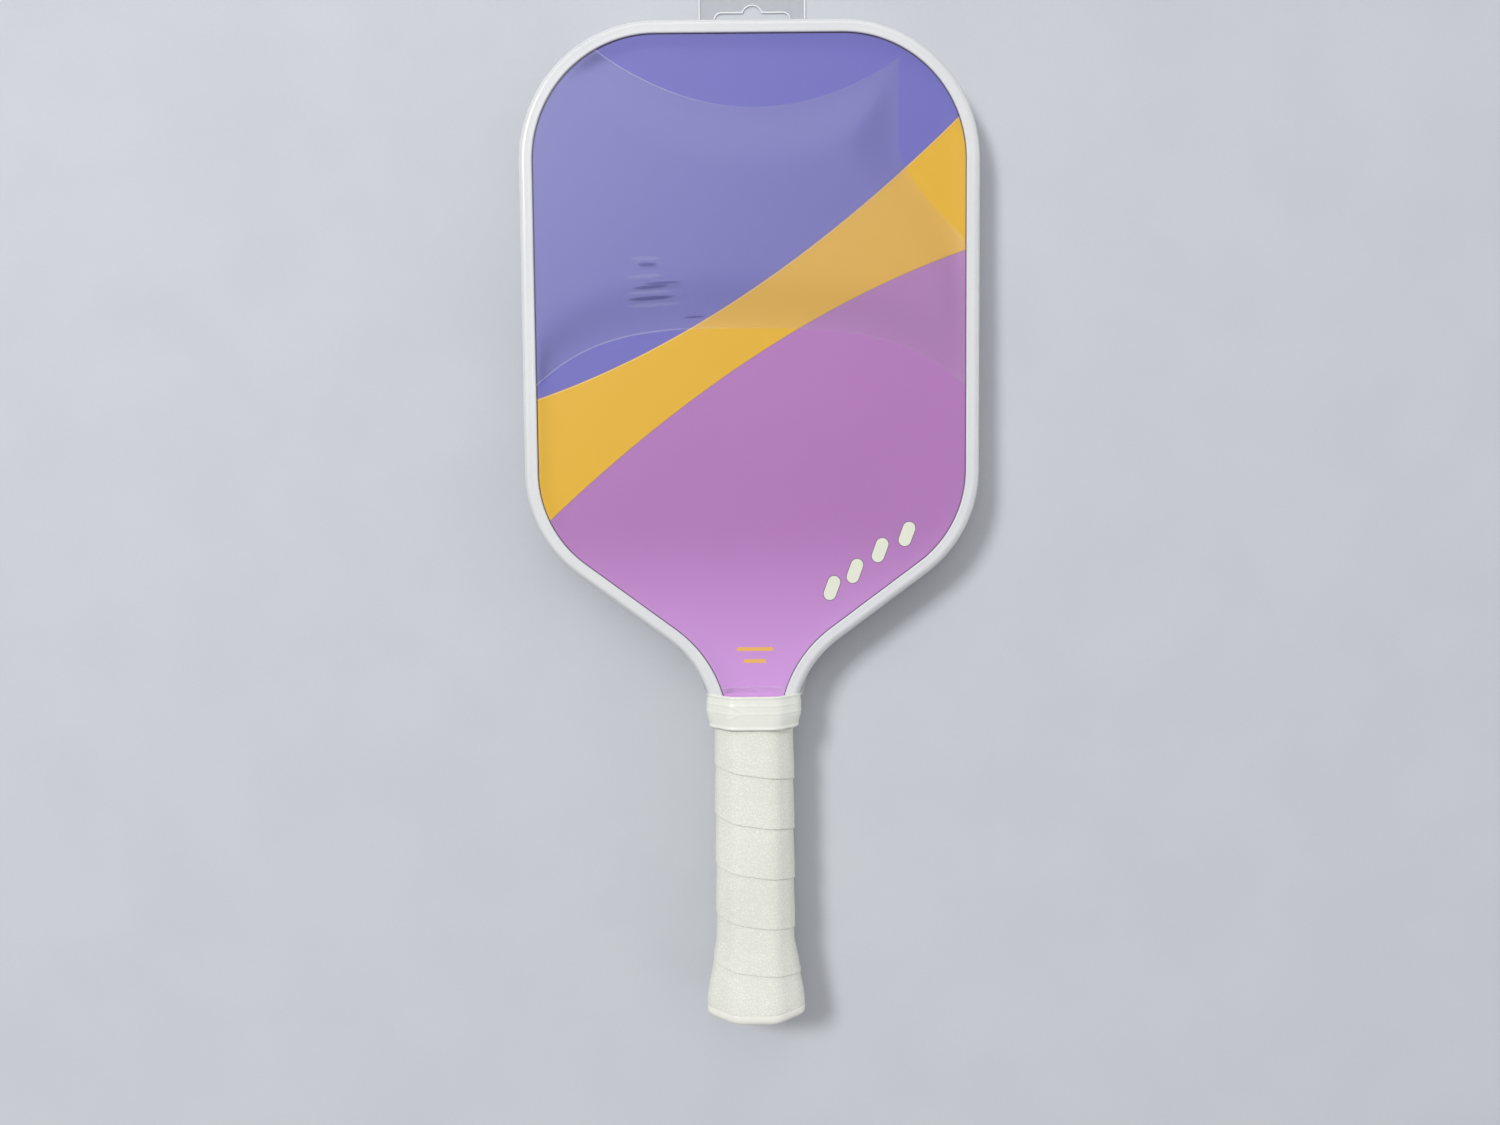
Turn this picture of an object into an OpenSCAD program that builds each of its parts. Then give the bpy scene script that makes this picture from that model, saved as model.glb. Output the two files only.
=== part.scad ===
// Pickleball paddle: a honeycomb-cored panel with an edge guard, a boxed-in tang, a taped
// octagonal handle, a rubber collar, and the clear film and hang tab that it is sold in.
// Millimetres. +X is across the face, +Y towards the head, +Z out of the front face.
// Along the paddle a place is given as s, the distance down from the head's top edge.

/* [Overall] */
// Length from the head's top edge to the end of the butt
total_l = 419.1; // [412:0.1:426]
// Width of the head over the edge guard
head_w = 190.5; // [186:0.1:196]

/* [Head outline] */
// Radius of the two top corners
top_r = 57; // [50:0.5:62]
// Radius of the two shoulders
shoulder_r = 53.7; // [48:0.1:58]
// Distance from the top edge to where the shoulders start
shoulder_s = 184.7; // [180:0.1:188]
// Turn of the shoulder, up to the straight run towards the neck
shoulder_turn = 53.4; // [51:0.1:55]
// Length of the straight run between shoulder and throat
throat_run = 46.9; // [44:0.1:49]
// Radius of the hollow throat
throat_r = 47.2; // [44:0.1:52]
// Distance from the top edge to the end of the neck
neck_s = 280.7; // [279:0.1:282]

/* [Panel] */
// Thickness of the honeycomb core
core_t = 12.6; // [10:0.1:14]
// Thickness of each bonding film
bond_t = 0.1; // [0.1:0.05:0.2]
// Thickness of each face sheet
sheet_t = 0.5; // [0.4:0.1:0.8]
// Thickness of each printed film
print_t = 0.1; // [0.1:0.05:0.2]
// Distance between honeycomb cell centres
cell_pitch = 10; // [9:1:14]
// Thickness of a honeycomb wall
cell_wall = 0.5; // [0.4:0.1:0.8]
// Width left solid round the core's rim
core_rim = 1.2; // [1:0.1:3]
// Width of the tang inside the handle
tang_w = 23; // [20:0.5:23.5]

/* [Edge guard] */
// Thickness of the guard beyond the panel's edge
guard_web = 1.2; // [1:0.1:2]
// Thickness of each guard lip over the face
guard_lip = 1.1; // [0.8:0.1:1.5]
// Width of the guard seen on the face
guard_w = 5.8; // [5:0.1:8]
// Radius of the guard's outer corners
guard_r = 2.6; // [1.5:0.1:3.5]
// Thickness of the tape between guard and panel edge
guard_tape_t = 0.15; // [0.1:0.05:0.3]

/* [Handle] */
// Width of the grip over its tape
grip_w = 34.2; // [33:0.1:36]
// Thickness of the grip over its tape
grip_t = 29.5; // [28:0.1:31]
// Width of the grip's flat front facet
facet_w = 17; // [15:0.1:18]
// Height of the grip's flat side facet
facet_h = 11.8; // [10:0.1:13]
// Thickness of the grip tape at its thickest
tape_t = 1.6; // [1.2:0.1:1.8]
// Step from one turn of the grip tape down to the next
tape_step = 0.4; // [0.2:0.1:0.6]
// Length of handle that one turn of grip tape covers
tape_pitch = 21.6; // [18:0.1:25]
// Thickness of the double-sided tape under the grip tape
backing_t = 0.2; // [0.1:0.05:0.3]

/* [Butt] */
// Width of the butt over the grip tape
butt_w = 42.3; // [40:0.1:44]
// Thickness of the butt over the grip tape
butt_t = 33; // [32:0.1:34]
// Width of the butt's flat front facet
butt_facet_w = 18.3; // [17:0.1:19]
// Distance from the top edge to where the flare starts
flare_s = 387; // [384:0.5:390]
// Distance from the top edge to where the flare is full width
flare_end_s = 411; // [408:0.5:412]
// Thickness of the butt cap's skirt
cap_wall = 1.2; // [1:0.1:1.5]
// Thickness of the rim that the grip tape ends against
cap_rim = 4.6; // [4:0.1:5]
// Length over which the rim is rounded off to the end face
cap_round = 2.5; // [1:0.5:3]
// Length of a butt cap pin
pin_l = 5.4; // [4:0.1:5.5]
// Diameter of a butt cap pin
pin_d = 1.4; // [1.2:0.1:1.8]

/* [Collar] */
// Distance from the top edge to the collar's upper edge
collar_s = 278.4; // [278:0.1:279]
// Length of the collar along the handle
collar_l = 14.3; // [13:0.1:16]
// Width of the collar at its upper edge
collar_w = 40.2; // [40:0.1:42]
// Width of the collar at its lower edge
collar_low_w = 38.6; // [38:0.1:40]
// Thickness of the collar front to back
collar_t = 32.2; // [31.8:0.1:32.4]
// Height of the two raised rings on the collar
collar_ring = 0.25; // [0.1:0.05:0.3]

/* [Film and hang tab] */
// Thickness of the clear film round the head
film_t = 0.1; // [0.1:0.05:0.2]
// Gap between the film and the guard
film_gap = 0.05; // [0.05:0.05:0.1]
// Distance from the top edge to the film's open end
film_s = 275; // [270:0.5:277]
// Width of the hang tab
tab_w = 45; // [42:0.5:50]
// Height of the hang tab
tab_l = 51; // [44:1:60]
// Height of the hang tab beyond the head's top edge
tab_out = 18.5; // [16:0.5:20]
// Thickness of the hang tab
tab_t = 0.4; // [0.3:0.1:0.6]
// How far the hang tab was stuck on to the right of the paddle's axis
tab_x = 1.7; // [-3:0.1:3]
// Width of the hang tab's slot
slot_w = 31.6; // [30:0.1:33]
// Height of the straight part of the slot
slot_h = 5.6; // [4:0.1:6]
// Radius of the round notch in the slot's upper edge
notch_r = 4.2; // [3.5:0.1:5]

/* [Hidden] */
$fn = 64;

// Where the head's top edge and the panel's middle plane lie in the part's own frame, whose
// origin is under the middle of the whole length, on the surface that the butt rests on.
top_y = (total_l - tab_out) / 2;
mid_z = butt_t / 2;

half_w = head_w / 2;
panel_inset = guard_web + guard_tape_t;
laminate_t = core_t + 2 * (bond_t + sheet_t);
panel_t = laminate_t + 2 * print_t;
guard_half_t = panel_t / 2 + guard_lip;

// Centres of the outline's arcs on the right-hand side, and the ends of the straight run.
// The outward direction turns from +Y over +X to shoulder_turn below +X.
top_c = [half_w - top_r, -top_r];
shoulder_c = [half_w - shoulder_r, -shoulder_s];
run_out = [cos(shoulder_turn), -sin(shoulder_turn)];
run_dir = [-sin(shoulder_turn), -cos(shoulder_turn)];
run_start = shoulder_c + shoulder_r * run_out;
run_end = run_start + throat_run * run_dir;
throat_c = run_end + throat_r * run_out;
throat_sweep = 40;
guard_end_s = neck_s - 0.3;

// Handle sections, from the outside in: [width, thickness, front facet, side facet].
grip_section = [grip_w, grip_t, facet_w, facet_h];
wrap_t = tape_t + backing_t;
handle_section = inset_section(grip_section, wrap_t);
butt_section = [butt_w, butt_t, butt_facet_w, facet_h];
cap_full_section = inset_section(butt_section, wrap_t);
cap_inner_section = inset_section(handle_section, cap_wall);
band_section = inset_section(grip_section, -0.15);
handle_s = neck_s + 0.2;
tape_s = 284.9;
backing_end_s = flare_s - 1;
handle_end_s = total_l - 4;
cap_s = flare_s - 1;
rim_s = total_l - cap_rim;
pin_s = flare_s + 4;
pin_x = 6;

// Hang tab heights, measured down from the head's top edge
slot_top_s = -8.3;
notch_s = -7.1;
adhesive_s = 12;
tab_corner_r = 3;
clear = 0.05;

// A section with its walls moved in by d, for facets that meet at about 45 degrees
function inset_section(sec, d) =
    let (dx = (sec[0] - sec[2]) / 2, dz = (sec[1] - sec[3]) / 2, slant = norm([dx, dz]))
    [sec[0] - 2 * d, sec[1] - 2 * d,
     sec[2] - 2 * d * (slant - dx) / dz, sec[3] - 2 * d * (slant - dz) / dx];

// The four corner points of an octagonal section in its first quarter, then all eight
function quarter(sec) = [[sec[0] / 2, sec[3] / 2], [sec[2] / 2, sec[1] / 2]];
function octagon_points(sec) =
    let (q = quarter(sec))
    [q[0], q[1], [-q[1].x, q[1].y], [-q[0].x, q[0].y],
     [-q[0].x, -q[0].y], [-q[1].x, -q[1].y], [q[1].x, -q[1].y], [q[0].x, -q[0].y]];

// A slice of handle from s0 to s1 whose section is the child
module along_handle(s0, s1) {
    translate([0, -s0, 0]) rotate([90, 0, 0]) linear_extrude(s1 - s0) children();
}

module octagon(sec) polygon(octagon_points(sec));

module octagon_slice(sec, s0, s1) along_handle(s0, s1) octagon(sec);

// A box from s0 to s1, centred on the paddle's axis
module cut_box(s0, s1, w = 240, h = 60) {
    translate([-w / 2, -s1, -h / 2]) cube([w, s1 - s0, h]);
}

// Points along an arc, in equal steps of angle
function arc(c, r, from, to, steps) =
    [for (i = [0 : steps]) let (a = from + (to - from) * i / steps) c + r * [cos(a), sin(a)]];

// The head's right-hand edge moved in by inset, from the flat top down into the throat
function right_edge(inset) = concat(
    arc(top_c, top_r - inset, 90, 0, 16),
    arc(shoulder_c, shoulder_r - inset, 0, -shoulder_turn, 12),
    arc(throat_c, throat_r + inset, 180 - shoulder_turn, 180 - shoulder_turn + throat_sweep, 8));

// Both edges as one loop, down the right-hand side and back up the left
function head_loop(inset) =
    concat(right_edge(inset), mirrored(right_edge(inset)));

// The right-hand edge ended square at the neck, and its mirror image with the points reversed
function neck_half_w(inset) =
    throat_c.x - sqrt((throat_r + inset) ^ 2 - (throat_c.y + neck_s) ^ 2);
function edge_to_neck(inset) =
    concat([for (p = right_edge(inset)) if (-p.y < neck_s - 0.5) p],
           [[neck_half_w(inset), -neck_s]]);
function mirrored(points) =
    [for (i = [len(points) - 1 : -1 : 0]) [-points[i].x, points[i].y]];

// Head outline drawn inset from the guard's outer edge, down to the end of the neck
module head_shape(inset) polygon(concat(edge_to_neck(inset), mirrored(edge_to_neck(inset))));

// The laminated panel's outline moved in by rim, with the tang that the handle boxes in
module panel_shape(rim = 0) {
    half_tang = tang_w / 2 - rim;
    right = concat(edge_to_neck(panel_inset + rim),
                   [[half_tang, -neck_s], [half_tang, rim - handle_end_s]]);
    polygon(concat(right, mirrored(right)));
}

// A layer of the panel from height z0, t thick
module layer(z0, t) translate([0, 0, z0]) linear_extrude(t) children();

// Whole head as one slab with rounded edges, grown by g all round. Each row is the head's
// loop at one step of the rounded corner, and the flat faces are strips from right to left.
module head_slab(g = 0) {
    steps = 5;
    flank = guard_half_t - guard_r;
    corner = [for (i = [0 : steps]) let (a = 90 - 90 * i / steps)
              [guard_r - (guard_r + g) * cos(a), flank + (guard_r + g) * sin(a)]];
    rows = concat(corner, [for (i = [steps : -1 : 0]) [corner[i].x, -corner[i].y]]);
    n = len(head_loop(0));
    verts = [for (row = rows) for (p = head_loop(row.x)) [p.x, p.y, row.y]];
    low = n * (len(rows) - 1);
    sides = [for (k = [0 : len(rows) - 2]) for (i = [0 : n - 1])
             let (a = k * n + i, b = k * n + (i + 1) % n)
             each [[a, b + n, b], [a, a + n, b + n]]];
    faces = [for (i = [0 : n / 2 - 2])
             let (a = i, b = i + 1, c = n - 2 - i, d = n - 1 - i)
             each [[a, c, d], [a, b, c], [low + a, low + d, low + c], [low + a, low + c, low + b]]];
    polyhedron(verts, concat(sides, faces));
}

// Moves a piece drawn round the head's top edge and the middle plane into the part's frame
module placed() translate([0, top_y, mid_z]) children();

// Centres of the honeycomb cells that can reach the panel, in offset rows
function cell_centres() =
    let (row = cell_pitch * sqrt(3) / 2, cols = ceil(half_w / cell_pitch))
    [for (j = [0 : floor(handle_end_s / row)]) for (i = [-cols : cols])
        let (c = [(i + (j % 2) / 2) * cell_pitch, -(j + 0.5) * row])
        if (cell_fits(c)) c];

// Half width of the panel at a distance s, for choosing the cells
function panel_half_w(s) =
    s > neck_s ? tang_w / 2
    : s < top_r ? top_c.x + sqrt(max(top_r ^ 2 - (top_r - s) ^ 2, 0))
    : s < shoulder_s ? half_w
    : s < -run_start.y ? shoulder_c.x + sqrt(shoulder_r ^ 2 - (s - shoulder_s) ^ 2)
    : s < -run_end.y ? run_start.x + (s + run_start.y) * tan(-shoulder_turn)
    : throat_c.x - sqrt(throat_r ^ 2 - (-throat_c.y - s) ^ 2);

function cell_fits(c) = abs(c.x) < panel_half_w(-c.y) - panel_inset
                        && -c.y > panel_inset && -c.y < handle_end_s - core_rim;

module cell_field() {
    for (c = cell_centres()) translate(c)
        rotate(30) circle(r = (cell_pitch - cell_wall) / sqrt(3), $fn = 6);
}

module honeycomb_core() color("whitesmoke") placed() layer(-core_t / 2, core_t)
    difference() {
        panel_shape();
        intersection() {
            cell_field();
            panel_shape(core_rim);
        }
    }

module core_bond(side) color("lightyellow") placed() {
    z0 = core_t / 2;
    layer(side > 0 ? z0 : -z0 - bond_t, bond_t) panel_shape();
}

module face_sheet(side) color("lightgray") placed() {
    z0 = core_t / 2 + bond_t;
    layer(side > 0 ? z0 : -z0 - sheet_t, sheet_t) panel_shape();
}

module printed_film(side) color("mediumorchid") placed() {
    z0 = laminate_t / 2;
    layer(side > 0 ? z0 : -z0 - print_t, print_t) head_shape(panel_inset);
}

module edge_guard_tape() color("gainsboro") placed() difference() {
    layer(-laminate_t / 2, laminate_t) difference() {
        head_shape(guard_web);
        head_shape(panel_inset);
    }
    cut_box(guard_end_s, total_l);
}

// A U section all round, whose lips clamp the panel's two faces
module edge_guard() color("white") placed() difference() {
    head_slab();
    layer(-panel_t / 2, panel_t) head_shape(guard_web);
    layer(-panel_t, 2 * panel_t) head_shape(guard_w);
    cut_box(guard_end_s, total_l);
}

// Solid handle core: the octagon, thinned where the butt cap's skirt fits over it
module handle_solid() {
    octagon_slice(handle_section, handle_s, cap_s);
    octagon_slice(cap_inner_section, cap_s, handle_end_s);
}

// The four pins that hold the butt cap, two from the front and two from the back
module cap_pins(grow = 0) {
    for (side = [-1, 1]) for (x = [-pin_x, pin_x]) {
        z = handle_section[1] / 2 - 0.2;
        translate([x, -pin_s, side > 0 ? z - pin_l : -z])
            cylinder(d = pin_d + grow, h = pin_l);
    }
}

// One moulded half, which laps round the tang and meets the other half at the middle plane
module handle_half(side) color("dimgray") placed() difference() {
    handle_solid();
    translate([-50, -total_l, side > 0 ? -50 : 0]) cube([100, total_l, 50]);
    translate([-tang_w / 2, -total_l, -laminate_t / 2]) cube([tang_w, total_l, laminate_t]);
    cap_pins();
}

// Flared octagon from the handle's own section out to the full butt
module flare(s0, sec0, s1, sec1) hull() {
    octagon_slice(sec0, s0, s0 + 0.01);
    octagon_slice(sec1, s1 - 0.01, s1);
}

module cap_solid() {
    octagon_slice(handle_section, cap_s, flare_s);
    flare(flare_s, handle_section, flare_end_s, cap_full_section);
    octagon_slice(cap_full_section, flare_end_s, rim_s);
}

module butt_cap() color("ivory") placed() difference() {
    union() {
        cap_solid();
        octagon_slice(butt_section, rim_s, total_l - cap_round);
        flare(total_l - cap_round, butt_section, total_l, inset_section(butt_section, 2));
    }
    octagon_slice(cap_inner_section, cap_s - 1, handle_end_s);
    cap_pins();
}

module butt_cap_pins() color("silver") placed() cap_pins();

module grip_backing_tape() color("khaki") placed() difference() {
    octagon_slice(inset_section(handle_section, -backing_t), tape_s, backing_end_s);
    octagon_slice(handle_section, tape_s - 1, total_l);
}

// Outer section of the grip tape at s: straight, then flared, as [section] above
function blend_section(a, b, f) = [for (i = [0 : 3]) a[i] + (b[i] - a[i]) * f];
function wrap_section(s) =
    blend_section(grip_section, butt_section,
                  min(max((s - flare_s) / (flare_end_s - flare_s), 0), 1));

// Corner points of a section, each corner cut by three points on a small curve
corner_points = 3;
wrap_n = 8 * corner_points;
corner_soft = 2.2;
function soft_point(sec, i) =
    let (p = octagon_points(sec), k = floor(i / corner_points), j = i % corner_points,
         here = p[k], before = p[(k + 7) % 8], after = p[(k + 1) % 8],
         a = here + corner_soft * (before - here) / norm(before - here),
         b = here + corner_soft * (after - here) / norm(after - here),
         f = j / (corner_points - 1))
    a * (1 - f) ^ 2 + here * 2 * f * (1 - f) + b * f ^ 2;

// Rows of the spiral: each turn has a foot just below a seam, a middle and a raised lip
turn_rows = [0, 0.5, 0.97];
rows_per_turn = len(turn_rows);
wrap_turns = 9;
wrap_first_s = tape_s - 2 * tape_pitch;
function wrap_point(i, j) =
    let (turn = floor(j / rows_per_turn), f = turn_rows[j % rows_per_turn],
         s = wrap_first_s + tape_pitch * (turn + f + i / wrap_n),
         p = soft_point(inset_section(wrap_section(s), tape_step * (1 - f)), i))
    [-p.x, -s, p.y];

// Solid body of the wrapped grip, as one spiral surface closed by a fan at each end. The
// spiral joins each row's last point to the first point of the row one turn on.
module wrapped_body() {
    rows = wrap_turns * rows_per_turn;
    last = rows - 1;
    verts = [for (j = [0 : rows + rows_per_turn - 1]) for (i = [0 : wrap_n - 1])
             if (j < rows || i == 0) wrap_point(i, j)];
    // index of point i of row j, where i = wrap_n means the next turn's first point
    function at(i, j) = i < wrap_n ? (j < rows ? j * wrap_n + i
                                               : rows * wrap_n + (j - rows))
                                   : at(0, j + rows_per_turn);
    head_hub = len(verts);
    butt_hub = head_hub + 1;
    hubs = [[0, verts[0].y, 0], [0, verts[len(verts) - 1].y, 0]];
    head_row = concat([for (i = [0 : wrap_n]) at(i, 0)],
                       [for (j = [rows_per_turn - 1 : -1 : 1]) at(0, j)]);
    butt_row = concat([for (i = [0 : wrap_n]) at(i, last)],
                       [for (j = [last + rows_per_turn - 1 : -1 : last + 1]) at(0, j)]);
    skin = [for (j = [0 : last - 1]) for (i = [0 : wrap_n - 1])
            each [[at(i, j), at(i + 1, j), at(i + 1, j + 1)],
                  [at(i, j), at(i + 1, j + 1), at(i, j + 1)]]];
    head_end = [for (k = [0 : len(head_row) - 1])
                [head_row[(k + 1) % len(head_row)], head_row[k], head_hub]];
    butt_end = [for (k = [0 : len(butt_row) - 1])
                [butt_row[k], butt_row[(k + 1) % len(butt_row)], butt_hub]];
    polyhedron(concat(verts, hubs), concat(skin, head_end, butt_end));
}

module grip_tape() color("ivory") placed() difference() {
    intersection() {
        wrapped_body();
        cut_box(tape_s, rim_s);
    }
    octagon_slice(inset_section(handle_section, -backing_t), tape_s - 1, backing_end_s);
    cap_solid();
}

module grip_finishing_tape() color("white") placed() difference() {
    octagon_slice(inset_section(band_section, -0.15), tape_s - 3, collar_s + collar_l - 0.8);
    octagon_slice(band_section, tape_s, total_l);
    octagon_slice(handle_section, tape_s - 5, total_l);
}

// Outer section of the collar, with its corners rounded
module collar_section(w, grow = 0) offset(r = 2, $fn = 32) octagon(inset_section(
    [w, collar_t, facet_w + 3, facet_h + 2], 2 - grow));

module collar_body() {
    low_s = collar_s + collar_l;
    hull() {
        along_handle(collar_s, collar_s + 8) collar_section(collar_w);
        along_handle(low_s - 1.5, low_s) collar_section(collar_low_w);
    }
    for (s = [collar_s + 3.2, collar_s + 6.6])
        along_handle(s, s + 1.4) collar_section(collar_w, collar_ring);
}

module grip_collar() color("white") placed() difference() {
    collar_body();
    octagon_slice(inset_section(band_section, -0.15 - clear), handle_s, total_l);
    // the neck and the ends of the guard pass through the upper rim
    translate([0, 0, -guard_half_t - clear])
        linear_extrude(2 * (guard_half_t + clear)) intersection() {
            head_shape(-clear);
            translate([-60, -total_l]) square([120, total_l - collar_s + 1]);
        }
}

module head_film() color("lightcyan", 0.3) placed() difference() {
    head_slab(film_gap + film_t);
    head_slab(film_gap);
    cut_box(film_s, total_l);
}

module rounded_plate(w, l, r) translate([0, -l / 2]) hull()
    for (x = [-1, 1]) for (y = [-1, 1])
        translate([x * (w / 2 - r), y * (l / 2 - r)]) circle(r);

module slot_shape() {
    translate([0, -slot_top_s - slot_h / 2]) {
        square([slot_w - slot_h, slot_h], center = true);
        for (x = [-1, 1]) translate([x * (slot_w - slot_h) / 2, 0]) circle(d = slot_h);
    }
    translate([0, -notch_s]) circle(notch_r);
}

film_back_z = -guard_half_t - film_gap - film_t;

module hang_tab_adhesive() color("lightcyan", 0.3) placed()
    layer(film_back_z - 0.1, 0.1)
        translate([tab_x - tab_w / 2, -(tab_l - tab_out)])
            square([tab_w, tab_l - tab_out - adhesive_s]);

module hang_tab() color("lightcyan", 0.3) placed()
    layer(film_back_z - 0.1 - tab_t, tab_t) translate([tab_x, 0]) difference() {
        translate([0, tab_out]) rounded_plate(tab_w, tab_l, tab_corner_r);
        slot_shape();
    }

honeycomb_core();
core_bond(1);  // core_bond_front
core_bond(-1);  // core_bond_back
face_sheet(1);  // face_sheet_front
face_sheet(-1);  // face_sheet_back
printed_film(1);  // printed_film_front
printed_film(-1);  // printed_film_back
edge_guard_tape();
edge_guard();
handle_half(1);  // handle_half_front
handle_half(-1);  // handle_half_back
butt_cap();
butt_cap_pins();
grip_backing_tape();
grip_tape();
grip_finishing_tape();
grip_collar();
head_film();
hang_tab_adhesive();
hang_tab();
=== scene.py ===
"""Pickleball paddle in its clear sleeve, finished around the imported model.

Lengths are in millimetres in the paddle's own frame until a mesh is written: x to the
right, s down the paddle from the guard's top edge, h up from the core's middle plane.
"""
from __future__ import annotations

import logging
import math
from dataclasses import dataclass, field
from enum import Enum
from functools import reduce
from typing import Any, Callable, Iterable, Sequence

import bmesh  # noqa: E402
import bpy  # noqa: E402
import numpy as np  # noqa: E402
from mathutils import Matrix, Vector  # noqa: E402


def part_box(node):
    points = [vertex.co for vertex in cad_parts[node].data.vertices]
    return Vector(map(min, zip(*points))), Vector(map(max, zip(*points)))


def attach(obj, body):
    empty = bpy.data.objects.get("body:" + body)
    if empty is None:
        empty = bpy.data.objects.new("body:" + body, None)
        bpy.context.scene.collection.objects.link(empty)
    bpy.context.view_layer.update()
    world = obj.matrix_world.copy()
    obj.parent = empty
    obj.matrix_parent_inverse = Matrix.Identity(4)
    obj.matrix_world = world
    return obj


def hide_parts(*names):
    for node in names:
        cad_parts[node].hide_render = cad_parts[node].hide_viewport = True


LOG = logging.getLogger("paddle")
MM = 0.001
BODY = "root"
OVER_FACE = "over_face"
Colour = tuple[float, float, float]
Curve = Callable[[np.ndarray], np.ndarray]
WHITE = (1.0, 1.0, 1.0, 1.0)

# colour of the dust on every opaque finish
DUST: Colour = (236, 234, 228)
# the two places down the paddle between which the sleeve's slanting line moves outwards
RISE = (50.0, 112.0)
# the edge guard's lip over the middle plane, and the radius of its outer corners
LIP_H, CORNER_R = 8.1, 2.6

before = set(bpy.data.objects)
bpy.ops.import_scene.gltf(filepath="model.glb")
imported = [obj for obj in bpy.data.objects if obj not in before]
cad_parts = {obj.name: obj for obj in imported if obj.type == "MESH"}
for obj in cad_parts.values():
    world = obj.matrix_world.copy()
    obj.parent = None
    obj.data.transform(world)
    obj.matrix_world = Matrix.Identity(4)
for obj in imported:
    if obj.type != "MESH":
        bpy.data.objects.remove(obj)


# ---------------------------------------------------------------- places and small maths


@dataclass(frozen=True)
class Datum:
    """Where the paddle lies: the height of its middle plane and the y of its top edge."""

    top_y: float
    mid_z: float

    @classmethod
    def from_model(cls) -> "Datum":
        """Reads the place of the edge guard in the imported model."""
        low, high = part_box("edge_guard")
        return cls(high[1] / MM, (low[2] + high[2]) / 2 / MM)

    def place(self, x: np.ndarray, s: np.ndarray, h: np.ndarray) -> np.ndarray:
        """Turns x, s and h in millimetres into points in metres.

        Args:
            x, s, h: arrays that broadcast together.

        Returns:
            An array of their common shape, with a last axis of three.
        """
        x, s, h = np.broadcast_arrays(x, s, h)
        return np.stack([x, self.top_y - s, self.mid_z + h], axis=-1) * MM

    def rings(self, loops: np.ndarray, s: np.ndarray) -> np.ndarray:
        """Turns closed sections of x and h, one at each s, into points in metres."""
        return self.place(loops[..., 0], s[:, None], loops[..., 1])


def linear(colour: Colour) -> tuple[float, float, float, float]:
    """A display colour from 0 to 255 as linear red, green and blue, with alpha 1."""
    c = np.array(colour, dtype=float) / 255.0
    c = np.where(c <= 0.04045, c / 12.92, ((c + 0.055) / 1.055) ** 2.4)
    return (float(c[0]), float(c[1]), float(c[2]), 1.0)


def ease(low: float, high: float, value: np.ndarray) -> np.ndarray:
    """Rises smoothly from 0 at low to 1 at high: 3t^2 - 2t^3 of the clipped fraction."""
    t = np.clip((np.asarray(value, dtype=float) - low) / (high - low), 0.0, 1.0)
    return t * t * (3.0 - 2.0 * t)


def bump_at(value: np.ndarray, centre: float, width: float) -> np.ndarray:
    """A bell curve of height 1: exp of minus the squared distance in widths."""
    return np.exp(-(((np.asarray(value) - centre) / width) ** 2))


def link(name: str, data: bpy.types.ID) -> bpy.types.Object:
    """Makes an object of a mesh, a lamp or a camera and puts it in the scene."""
    obj = bpy.data.objects.new(name, data)
    bpy.context.scene.collection.objects.link(obj)
    return obj


# ---------------------------------------------------------------- meshes


def grid_faces(rows: int, cols: int, close_rows: bool = False,
               close_cols: bool = False) -> np.ndarray:
    """Quads of a grid whose vertex (r, c) has the number r * cols + c.

    Args:
        rows, cols: size of the grid.
        close_rows: joins the last row to the first.
        close_cols: joins the last column to the first.

    Returns:
        An array of four vertex numbers a face.
    """
    r, c = np.meshgrid(np.arange(rows if close_rows else rows - 1),
                       np.arange(cols if close_cols else cols - 1), indexing="ij")
    r2, c2 = (r + 1) % rows, (c + 1) % cols
    quads = np.stack([r * cols + c, r * cols + c2, r2 * cols + c2, r2 * cols + c], axis=-1)
    return quads.reshape(-1, 4)


def border(rows: int, cols: int) -> np.ndarray:
    """Vertex numbers once round the border of a grid."""
    return np.concatenate([
        np.arange(cols - 1),
        np.arange(rows - 1) * cols + cols - 1,
        (rows - 1) * cols + np.arange(cols - 1, 0, -1),
        np.arange(rows - 1, 0, -1) * cols,
    ])


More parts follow.
